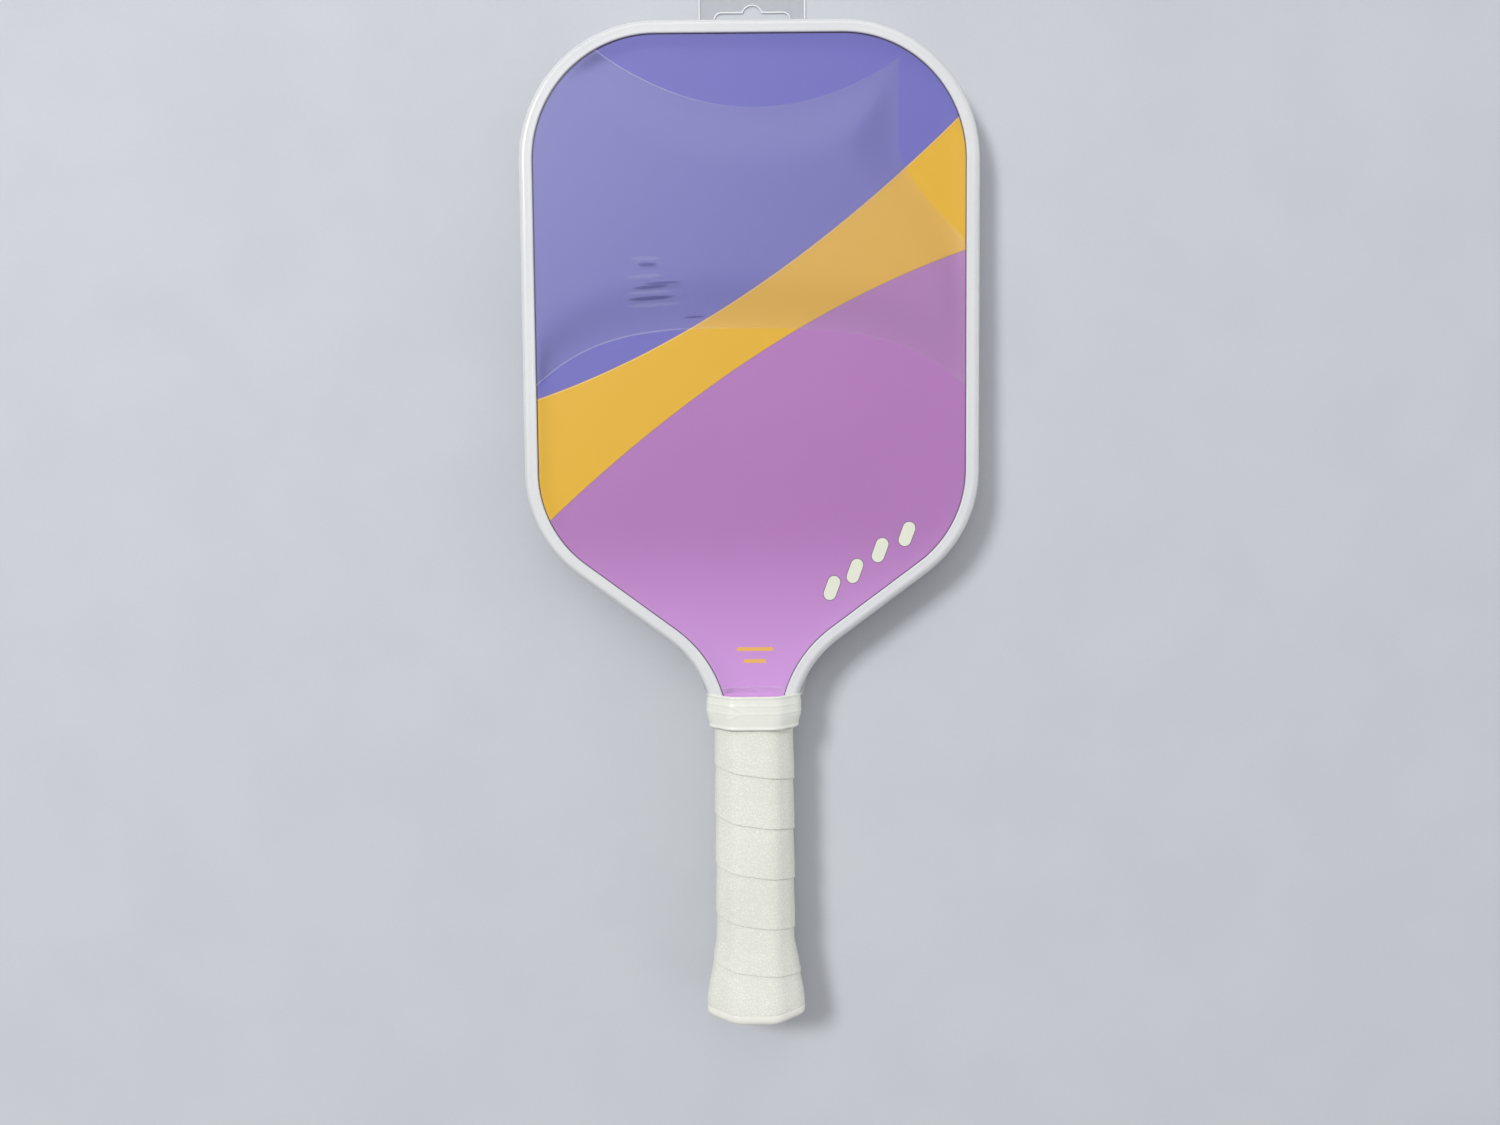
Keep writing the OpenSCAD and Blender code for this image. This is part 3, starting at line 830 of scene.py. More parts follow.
@dataclass(frozen=True)
class SleeveFinish(ClearFinish):
    """The head's sleeve: slightly milky where it stands off the print and clear where it
    clings, with a painted highlight along the line between the two, and painted shade
    and painted highlights along a few wrinkles."""

    haze: float = 0.03
    mouth_s: float = 275.6
    datum: Datum | None = None
    # painted shade (dark) and painted highlights (light) along wrinkles whose ridges are also in
    # the film's shape
    dark: tuple[Streak, ...] = (
        Streak(-42.5, 99.1, 5.0, 1.0, -0.02), Streak(-36.6, 106.6, 9.5, 0.7, -0.06),
        Streak(-41.4, 108.2, 9.5, 0.8, -0.08), Streak(-41.2, 112.7, 12.0, 1.1, -0.07),
        Streak(-23.3, 120.5, 6.0, 0.5, -0.05))
    light: tuple[Streak, ...] = (
        Streak(-43.4, 96.6, 7.0, 1.1), Streak(-43.5, 103.9, 9.0, 1.2, -0.05),
        Streak(-41.5, 110.3, 11.0, 0.9, -0.06), Streak(-40.0, 115.5, 12.0, 1.0, -0.06))

    def together(self, g: Graph, streaks: tuple[Streak, ...], x: Wire, s: Wire) -> Wire:
        """The largest of several streaks' masks."""
        return reduce(Wire.larger, [streak.mask(g, x, s) for streak in streaks])

    def layers(self, g: Graph) -> tuple[Wire, Wire, Wire]:
        """Milky share, its colour and the gloss, worked out from x and s on the front face.

        The milky part lies inside the cling lines, and the gloss is weaker where the sleeve
        clings. Along the neck's edge the sleeve is milky too. A painted highlight, white and
        stronger on the left, lies along the cling line and along the mouth; the dark streaks
        are painted shade along the wrinkles and the light ones painted highlights beside them.
        """
        x, s, z = g.spot(self.datum.top_y)
        upper, lower, side = cling_lines(x, s, g.ramp(s, *RISE))
        inner = upper.smaller(lower)
        soft = g.ramp(side, -0.5, 1.5) * g.ramp(inner, -0.2, 0.3)
        # painted highlight: a white line along the cling line, stronger on the left, beside a low
        # real ridge in the film's shape
        crisp = g.ramp(x, 0.0, -45.0) * 0.7 + 0.3
        line = g.ramp(side, -4.0, 1.0) * crisp * (1.0 - g.ramp(abs(inner), 0.1, 0.5))
        lip = s - self.mouth_s - x * x * 0.003
        soft = soft.larger(g.ramp(lip, 0.0, 0.4))
        # painted highlight along the sleeve's mouth as well
        line = line.larger((1.0 - g.ramp(abs(lip), 0.1, 0.4)) * 0.6)
        front = g.ramp(z, (self.datum.mid_z - 1) * MM, (self.datum.mid_z + 1) * MM)
        face = g.wire("Fac", "Attribute", attribute_name=OVER_FACE)
        cloud = g.noise(30.0, 3.0) * 0.3 + 0.85
        # painted highlights: light streaks add milky share beside the wrinkles
        fold = self.together(g, self.light, x, s)
        milky = soft * cloud * (fold * (self.haze * 1.2) + self.haze)
        # painted shade: dark streaks darken the film along the wrinkles
        wrinkle_shade = self.together(g, self.dark, x, s)
        share = milky + line * (self.haze * 3.2) + wrinkle_shade * (self.haze * 3.6)
        colour = g.mix(line, linear(self.colour), linear((252, 252, 252)))
        colour = g.mix(wrinkle_shade, colour, linear((30, 30, 70)))
        stands = face * (1.0 - front * (1.0 - soft))
        return share * (front * face) + self.tint, colour, (stands * 0.65 + 0.35) * self.glare


@dataclass(frozen=True)
class TabFinish(ClearFinish):
    """The hang tab: clear sheet with painted highlights along its cut edges."""

    datum: Datum | None = None
    centre: float = 1.7
    half_w: float = 22.5
    top_s: float = -18.5
    slot_s: float = -5.5
    slot_reach: float = 13.0
    slot_r: float = 2.8
    notch_s: float = -7.1
    notch_r: float = 4.2

    def layers(self, g: Graph) -> tuple[Wire, Wire, object]:
        """Adds a painted highlight, a pale line, along the sides, the top and the rim of the slot.

        The rim is where the smaller of two distances is near nothing: to a bar with round
        ends, and to the notch's circle.
        """
        share, colour, glare = super().layers(g)
        x, s, _ = g.spot(self.datum.top_y)
        x = abs(x - self.centre)

        def circle(dx: Wire, middle: float, radius: float) -> Wire:
            ds = s - middle
            return g.maths("SQRT", dx * dx + ds * ds) - radius

        bar = circle((x - self.slot_reach).larger(0.0), self.slot_s, self.slot_r)
        hole = bar.smaller(circle(x, self.notch_s, self.notch_r))
        sides = g.ramp(x, self.half_w - 0.8, self.half_w - 0.3)
        top = g.ramp(s, self.top_s + 0.8, self.top_s + 0.3)
        # painted highlight: the cut edges and the slot's rim are lightened
        edge = sides.larger(top).larger(1.0 - g.ramp(abs(hole), 0.25, 0.7))
        return share + edge * 0.55, g.mix(edge, colour, linear((250, 250, 250))), glare


# ---------------------------------------------------------------- sub-assemblies


class Side(Enum):
    """Which face of the paddle."""

    FRONT = 1
    BACK = -1

    @property
    def word(self) -> str:
        """The word used in piece names."""
        return self.name.lower()


INK = {"roughness": 0.5, "gloss_spread": 0.06, "scale": 2600.0, "depth": 0.006, "slow": 14.0,
       "fine": 1400.0, "dust": 0.04}
BLUE = Finish("blue_print", (107, 105, 184), (109, 107, 186), **INK)
AMBER = Finish("amber_print", (224, 177, 34), (222, 174, 36), **INK)
KEYLINE = Finish("keyline_print", (158, 118, 116), (164, 124, 120), 0.5, 0.04)
# painted shadow: the dark line at the guard's lip stands for the lip's shade on the print
PAINTED_LIP_SHADOW = Finish("painted_lip_shadow_print", (84, 74, 96), (90, 80, 102), 0.55, 0.04)
GLEAM = Finish("pale_line_print", (236, 212, 164), (232, 206, 156), 0.5, 0.04)
PALE_MARK = Finish("pale_print", (231, 233, 216), (226, 229, 212), 0.45, 0.05, depth=0.004)
DARK_MARK = Finish("olive_print", (112, 98, 120), (118, 104, 124), 0.5, 0.05)
YELLOW_MARK = Finish("yellow_print", (236, 186, 98), (231, 180, 90), 0.5, 0.05)
GUARD = Finish("satin_guard", (224, 225, 225), (218, 220, 222), 0.46, 0.1, scale=1100.0,
               depth=0.01, slow=26.0, fine=700.0, dust=0.2, specular=0.2)
COLLAR = Finish("gloss_collar", (235, 236, 227), (229, 231, 221), 0.26, 0.1, scale=500.0,
                depth=0.03, slow=60.0, fine=400.0, dust=0.1, coat=0.35, wave=0.6)
TAPE = Finish("pebbled_grip", (238, 239, 228), (230, 231, 219), 0.37, 0.1,
              Texture.PEBBLES, 760.0, 0.05, slow=40.0, fine=800.0, crease=0.35, dust=0.12)
CAP = Finish("moulded_cap", (236, 235, 226), (230, 229, 219), 0.34, 0.08, scale=900.0,
             depth=0.01, slow=60.0, fine=600.0)


@dataclass(frozen=True)
class PrintedFace:
    """The printed film on one face: three colour zones, key lines, marks and bars."""

    datum: Datum
    outline: HeadOutline
    side: Side
    inset: float = 1.35
    low: float = 6.9
    high: float = 7.0
    end_s: float = 280.7
    ink_up: float = 0.012
    ink_down: float = 0.02

    @staticmethod
    def amber_top(x: np.ndarray) -> np.ndarray:
        """Border of blue and amber: s as a parabola in x."""
        return 109.8 - 0.6545 * x - 0.001796 * x * x

    @staticmethod
    def amber_bottom(x: np.ndarray) -> np.ndarray:
        """Border of amber and violet: s as a parabola in x."""
        return 137.9 - 0.6433 * x + 0.0017 * x * x

    def put(self, x: np.ndarray, s: np.ndarray, h: np.ndarray | float) -> np.ndarray:
        """Places points on this face; the back is the front turned about the paddle's axis."""
        return self.datum.place(self.side.value * np.asarray(x), s,
                                self.side.value * np.asarray(h))

    def zone(self, upper: Curve, lower: Curve, rows: int = 7) -> Shape:
        """A flat body between two curves, cut to the panel's outline.

        Every column of points runs from the lower of the panel's top edge and the upper
        curve to the higher of its bottom edge and the lower curve; columns that would have
        no length are left out, and the last one is put where the two meet.
        """
        x = self.outline.columns(self.inset, self.end_s, 33, 45)
        fine = np.linspace(x[0], x[-1], 4001)

        def span(at: np.ndarray) -> tuple[np.ndarray, np.ndarray]:
            top = np.maximum(self.outline.top(at, self.inset), upper(at))
            return top, np.minimum(self.outline.bottom(at, self.inset, self.end_s), lower(at))

        top, bottom = span(fine)
        inside = fine[bottom - top > 0.0]
        x = np.concatenate([[inside[0]], x[(x > inside[0] + 0.3) & (x < inside[-1] - 0.3)],
                            [inside[-1]]])
        top, bottom = span(x)
        v = np.linspace(0, 1, rows)[:, None]
        s = top + (np.maximum(bottom, top) - top) * v
        return Shape.slab(self.put(x, s, self.high), self.put(x, s, self.low))

    def ink(self, x: np.ndarray, s: np.ndarray, up: float, down: float | None = None) -> Shape:
        """A thin flat body from below the face's surface, or from down, to a height above it."""
        down = -self.ink_down if down is None else down
        return Shape.slab(self.put(x, s, self.high + up), self.put(x, s, self.high + down))

    def keyline(self, curve: Curve, width: float = 0.3) -> Shape:
        """A thin line of ink along a border, from lip to lip."""
        x = np.linspace(-92.0, 92.0, 220)
        x = x[self.outline.depth(x, curve(x)) > 4.0]
        lift = np.array([-0.5, 0.5])[:, None] * width
        slope = np.gradient(curve(x), x)
        size = np.hypot(1.0, slope)
        return self.ink(x - lift * slope / size, curve(x) + lift / size, self.ink_up)

    def lip_shadow_line(self) -> Shape:
        """Painted shadow: a thin dark line that follows the guard's lip, where the lip shades the
        print.
        """
        x, s = self.outline.loop(np.array([5.7, 6.12]), self.end_s - 0.5)
        return self.ink(x, s, self.ink_up)

    def pill(self, x: float, s: float, length: float, width: float, lean: float,
             grow: float, up: float, down: float | None = None) -> Shape:
        """A flat bar with round ends, leaning by an angle: rows of chords across its length.

        Args:
            x, s: its middle.
            length, width: its size before it grows by grow on every side.
            lean: angle in radians.
            up, down: heights of its top and bottom over the face's surface.
        """
        u = np.sin(np.linspace(-math.pi / 2, math.pi / 2, 25))
        half, r = length / 2 + grow, width / 2 + grow
        over = np.maximum(np.abs(u * half) - (half - r), 0.0)
        chord = np.sqrt(np.maximum(r * r - over * over, 0.0))
        across = np.linspace(-1, 1, 5)[:, None] * chord
        along = np.broadcast_to(u * half, across.shape)
        c, k = math.cos(lean), math.sin(lean)
        return self.ink(x + across * c - along * k, s + across * k + along * c, up, down)

    def build(self) -> None:
        """Makes the face's pieces; marks and bars are printed on the front only."""
        word = self.side.word
        nothing_above: Curve = lambda x: np.full_like(x, -50.0)
        nothing_below: Curve = lambda x: np.full_like(x, 400.0)
        node = (f"printed_film_{word}",)
        self.zone(nothing_above, self.amber_top).piece(f"print_blue_{word}", BLUE, "print", node)
        self.zone(self.amber_top, self.amber_bottom).piece(
            f"print_amber_{word}", AMBER, "print", node)
        # painted light: the violet is lightened towards the neck as by a broad glow
        violet = GlowPaintedFinish("violet_print_painted_glow", (174, 117, 181), (177, 120, 184),
                             top_y=self.datum.top_y, **INK)
        self.zone(self.amber_bottom, nothing_below).piece(
            f"print_violet_{word}", violet, "print", node)
        Shape.joined([self.keyline(self.amber_top), self.keyline(self.amber_bottom)]).piece(
            f"print_keylines_{word}", KEYLINE, "print", node)
        self.keyline(lambda x: self.amber_top(x) + 0.36).piece(
            f"print_pale_line_{word}", GLEAM, "print", node)
        # painted shadow along the guard's lip
        self.lip_shadow_line().piece(f"print_lip_shadow_{word}", PAINTED_LIP_SHADOW, "print", node)
        if self.side is Side.FRONT:
            self.marks(node)

    def marks(self, node: Sequence[str]) -> None:
        """Four pale pills with a dark outline near the shoulder, and two bars at the neck."""
        lean = math.radians(20)
        spots = [(33.3, 233.9), (43.0, 226.8), (53.6, 218.1), (64.9, 211.4)]
        Shape.joined(self.pill(x, s, 10.5, 5.2, lean, 0.3, self.ink_up)
                     for x, s in spots).piece("print_mark_outlines", DARK_MARK, "print", node)
        Shape.joined(self.pill(x, s, 10.5, 5.2, lean, 0.0, 0.03, 0.002)
                     for x, s in spots).piece("print_marks", PALE_MARK, "print", node)
        flat = math.radians(90)
        bars = [(0.7, 259.5, 15.7), (0.6, 264.6, 9.6)]
        Shape.joined(self.pill(x, s, size, 1.6, flat, 0.0, 0.02)
                     for x, s, size in bars).piece("print_bars", YELLOW_MARK, "print", node)


@dataclass(frozen=True)
class EdgeGuard:
    """The moulded channel round the head's edge."""

    datum: Datum
    outline: HeadOutline
    lip_h: float = LIP_H
    face_h: float = 7.02
    lip_w: float = 5.8
    web: float = 1.2
    corner_r: float = CORNER_R
    end_s: float = 279.6

    def half_profile(self) -> tuple[np.ndarray, np.ndarray]:
        """Upper half of the channel's section, from the web's inside over the lip to the
        middle of its outside: a half-round bead at the lip's tip, a slightly hollow lip and
        a quarter round at the outer corner."""
        r = (self.lip_h - self.face_h) / 2
        tip = np.linspace(-90, 90, 9)
        tip_d = self.lip_w - r + r * np.cos(np.radians(tip))
        tip_h = self.face_h + r + r * np.sin(np.radians(tip))
        land = np.linspace(self.lip_w - r - 0.7, self.corner_r + 0.3, 5)
        hollow = 0.09 * np.sin(np.linspace(0.25, 0.85, 5) * math.pi)
        turn = np.radians(np.linspace(90, 0, 9))
        corner_d = self.corner_r - self.corner_r * np.cos(turn)
        corner_h = self.lip_h - self.corner_r + self.corner_r * np.sin(turn)
        inner_d, inner_h = np.array([self.web, self.web]), np.array([0.0, self.face_h])
        d = np.concatenate([inner_d, tip_d, land, corner_d, [-0.02]])
        h = np.concatenate([inner_h, tip_h, self.lip_h - hollow, corner_h, [2.5]])
        return d, h

    def build(self) -> bpy.types.Object:
        """Carries the section round the head's outline and closes both ends."""
        d, h = self.half_profile()
        d = np.concatenate([d, d[:0:-1]])
        h = np.concatenate([h, -h[:0:-1]])
        x, s = self.outline.loop(d, self.end_s)
        points = self.datum.place(x, s, h[:, None]).transpose(1, 0, 2)
        return Shape.tube(points).piece("guard_rail", GUARD, "guard", ("edge_guard",), 50.0)


@dataclass(frozen=True)
class GripCollar:
    """The stretched rubber collar over the top of the grip."""

    datum: Datum
    top_s: float = 278.4
    low_s: float = 292.7
    wide: tuple[float, ...] = (40.2, 32.2, 20.0, 13.8)
    low_w: float = 38.6
    ring_s: tuple[float, float] = (282.3, 285.7)

    def outer(self, s: np.ndarray) -> np.ndarray:
        """Growth of the outer wall at s: a lip at each end, two raised rings and a slight
        belly between them, each a bell curve."""
        belly = -0.3 + 0.42 * np.sin(np.clip((s - self.top_s) / 13.0, 0, 1) * math.pi)
        rings = 0.11 * sum(bump_at(s, ring, 0.5) for ring in self.ring_s)
        lips = 0.3 * bump_at(s, self.top_s + 0.5, 0.5) + 0.22 * bump_at(s, self.low_s - 0.7, 0.6)
        return belly + rings + lips

    def build(self) -> bpy.types.Object:
        """Sections down the outside and back up the inside, which narrows round the neck and
        then opens towards the top lip.

        The outside narrows in a straight line from below the rings to the lower lip. Small
        stretch marks near the left of the front face are two crossed ridges.
        """
        edge = np.array([0.0, 0.08, 0.25, 0.5])
        s = np.concatenate([self.top_s + edge, np.arange(self.top_s + 0.8, self.low_s - 0.6, 0.28),
                            self.low_s - edge[::-1]])
        sizes = np.repeat([self.wide], len(s), axis=0)
        sizes[:, 0] += (self.low_w - self.wide[0]) * ease(286.4, 291.9, s)
        round_off = 0.45 * (1 - np.sqrt(1 - (1 - np.clip(
            np.minimum(s - self.top_s, self.low_s - s) / 0.5, 0, 1)) ** 2))
        grown = inset_sizes(sizes, round_off - self.outer(s))
        rim = octagon(grown, 3.0)
        x, h = rim[..., 0], rim[..., 1]
        rows = s[:, None] + np.zeros_like(x)
        lift = 0.28 * (np.exp(-((rows - 283.8 - 0.45 * (x + 7.0)) / 0.35) ** 2
                              - ((x + 7.5) / 2.6) ** 2)
                       + np.exp(-((rows - 286.7 + 0.5 * (x + 8.0)) / 0.35) ** 2
                                - ((x + 8.5) / 2.2) ** 2)) * (h > 10)
        outer = self.datum.place(x, rows, h + lift)
        mouth = np.array([38.95, 30.7, 18.8, 13.4])
        web = np.array([38.6, 16.5, 33.0, 10.0])
        sleeve = np.array([34.95, 30.2, 17.3, 12.1])
        inner_s = np.array([self.low_s, 281.1, 280.9, 280.65, self.top_s])
        inner = octagon(np.stack([sleeve, sleeve, web, web, mouth]), 2.0)
        back = self.datum.rings(inner, inner_s)
        return Shape.tube(np.concatenate([outer, back]), ring=True).piece(
            "collar_ring", COLLAR, "collar", ("grip_collar",), 45.0)


@dataclass(frozen=True)
class WrappedGrip:
    """The pebbled grip tape, wound from the butt up so that each turn laps the one below."""

    datum: Datum
    pitch: float = 21.6
    seam_s: float = 312.6
    step: float = 0.5
    turns: int = 10
    soft: float = 4.2
    below: int = 3
    pulled: float = 1.6

    def profile(self) -> tuple[np.ndarray, np.ndarray]:
        """Down one turn: fraction of the pitch and height over the thinnest place.

        The tape starts low under the lip above it, comes up to its full thickness over the
        first half of the turn, and ends in a rounded lip with a fine crevice below it.
        """
        body = np.array([0.004, 0.03, 0.08, 0.15, 0.25, 0.36, 0.48, 0.6, 0.72, 0.82, 0.9, 0.95,
                         0.975])
        rise = self.step * (0.15 + 0.85 * ease(0.0, 0.8, body)) + 0.1 * bump_at(body, 0.97, 0.03)
        lip_f = np.array([0.988, 0.996, 0.999, 1.0005, 1.001])
        lip_h = self.step * np.array([1.12, 0.9, 0.5, 0.1, -0.3])
        return np.concatenate([body, lip_f]), np.concatenate([rise, lip_h])

    def build(self) -> bpy.types.Object:
        """One spiral surface, with a plain lining inside it.

        Row j of the spiral lies at seam + pitch * (turn + fraction + advance), where the
        advance of a column round the handle is t - 0.35 sin(2 pi t) / (2 pi), so the seam
        is flatter on the front and back. After one trip round, a row meets the row one
        turn on. Over the flare the turns are pulled up a little. Rows beyond an end of the
        tape are brought back to it and merge there.
        """
        f, height = self.profile()
        per_turn = len(f)
        ring = octagon(GRIP[None], self.soft)[0]
        walk = np.linalg.norm(np.diff(np.vstack([ring, ring[:1]]), axis=0), axis=1)
        t = np.concatenate([[0.0], np.cumsum(walk)[:-1]]) / walk.sum()
        advance = t - 0.35 * np.sin(2 * math.pi * t) / (2 * math.pi)
        cols = len(t)
        turn = np.repeat(np.arange(self.turns), per_turn)
        level = turn + np.tile(f, self.turns)
        first = self.seam_s - self.below * self.pitch
        s = first + self.pitch * (level[:, None] + advance[None, :])
        s = s - self.pulled * ease(384.0, 404.0, s)
        rows = len(level)
        raised = np.repeat(np.tile(height, self.turns)[:, None], cols, axis=1)
        held = np.clip(s, TAPE_S, RIM_S)
        phase = ((held - first) / self.pitch - advance[None, :]) % 1.0
        level_at_end = np.interp(phase, f[:-2], height[:-2])
        raised = np.where(held == s, raised, level_at_end)
        sag = 0.04 * np.sin(held * 0.9 + 5.0 * t) * np.sin(held * 0.31 + 11.0 * t)
        out = self.step - raised - sag
        loops = octagon(inset_sizes(flared(held), out), self.soft)
        own = loops[:, np.arange(cols), np.arange(cols)]
        skin = self.datum.place(own[..., 0], held, own[..., 1])

        def number(j: np.ndarray, i: np.ndarray) -> np.ndarray:
            past = i == cols
            return np.where(past, np.minimum(j + per_turn, rows - 1), j) * cols + np.where(
                past, 0, i)

        j, i = np.meshgrid(np.arange(rows - 1), np.arange(cols), indexing="ij")
        faces = np.stack([number(j, i), number(j, i + 1), number(j + 1, i + 1),
                          number(j + 1, i)], axis=-1).reshape(-1, 4)
        lining_s = np.array([TAPE_S, 330.0, 386.0, FLARE_S + 8, FLARE_S + 16, FLARE_END_S, RIM_S])
        bore = octagon(inset_sizes(flared(lining_s), np.array([1.62] * 2 + [1.5] * 5)), 2.2)
        lining = self.datum.rings(bore, lining_s)
        count = rows * cols
        inner = grid_faces(len(lining_s), cols, close_cols=True)[:, ::-1] + count
        c = np.arange(cols)
        d = (c + 1) % cols
        last = count + (len(lining_s) - 1) * cols
        ends = [np.stack([c, c + count, d + count, d], axis=-1),
                np.stack([(rows - 1) * cols + d, last + d, last + c, (rows - 1) * cols + c],
                         axis=-1)]
        points = np.concatenate([skin.reshape(-1, 3), lining.reshape(-1, 3)])
        # the first column's rows of the last turn close onto the end ring when merged
        return Shape(points, np.concatenate([faces, inner, *ends]).tolist()).piece(
            "grip_wrap", TAPE, "grip", ("grip_tape",), 60.0)


@dataclass(frozen=True)
class ButtCap:
    """The moulded cap in the end of the handle: a flared cup with a rounded rim."""

    datum: Datum
    wall: float = 1.2
    under: float = 1.52
    start_s: float = 386.0
    floor_s: float = 415.1
    round_r: float = 2.6

    def build(self) -> bpy.types.Object:
        """Sections from the middle of the end face, round the rim, up the outside under the
        tape, and down the inside to the cup's floor."""
        turn = np.radians(np.linspace(90, 0, 9))
        face_s = np.array([TOTAL_S - 0.35, TOTAL_S - 0.35, TOTAL_S - 0.3, TOTAL_S - 0.05, TOTAL_S])
        face_in = np.array([13.5, 9.0, 7.4, 6.6, 5.2])
        rim_s = TOTAL_S - self.round_r + self.round_r * np.sin(turn)
        rim_in = self.round_r - self.round_r * np.cos(turn)
        skirt_s = np.array([RIM_S + 0.35, RIM_S + 0.1, RIM_S + 0.02, FLARE_END_S, 403.0, 395.0,
                            FLARE_S, self.start_s])
        skirt_in = np.array([0.0, 0.12, self.under - 0.02] + [self.under] * 5)
        inside_s = np.array([self.start_s, FLARE_S, 395.0, 403.0, FLARE_END_S, self.floor_s])
        inside_in = np.full(6, self.under + self.wall)
        s = np.concatenate([face_s, rim_s, skirt_s, inside_s])
        d = np.concatenate([face_in, rim_in, skirt_in, inside_in])
        loops = octagon(inset_sizes(flared(s), d), 3.0)
        points = self.datum.rings(loops, s)
        return Shape.tube(points).piece("butt_end_cap", CAP, "cap", ("butt_cap",), 40.0)


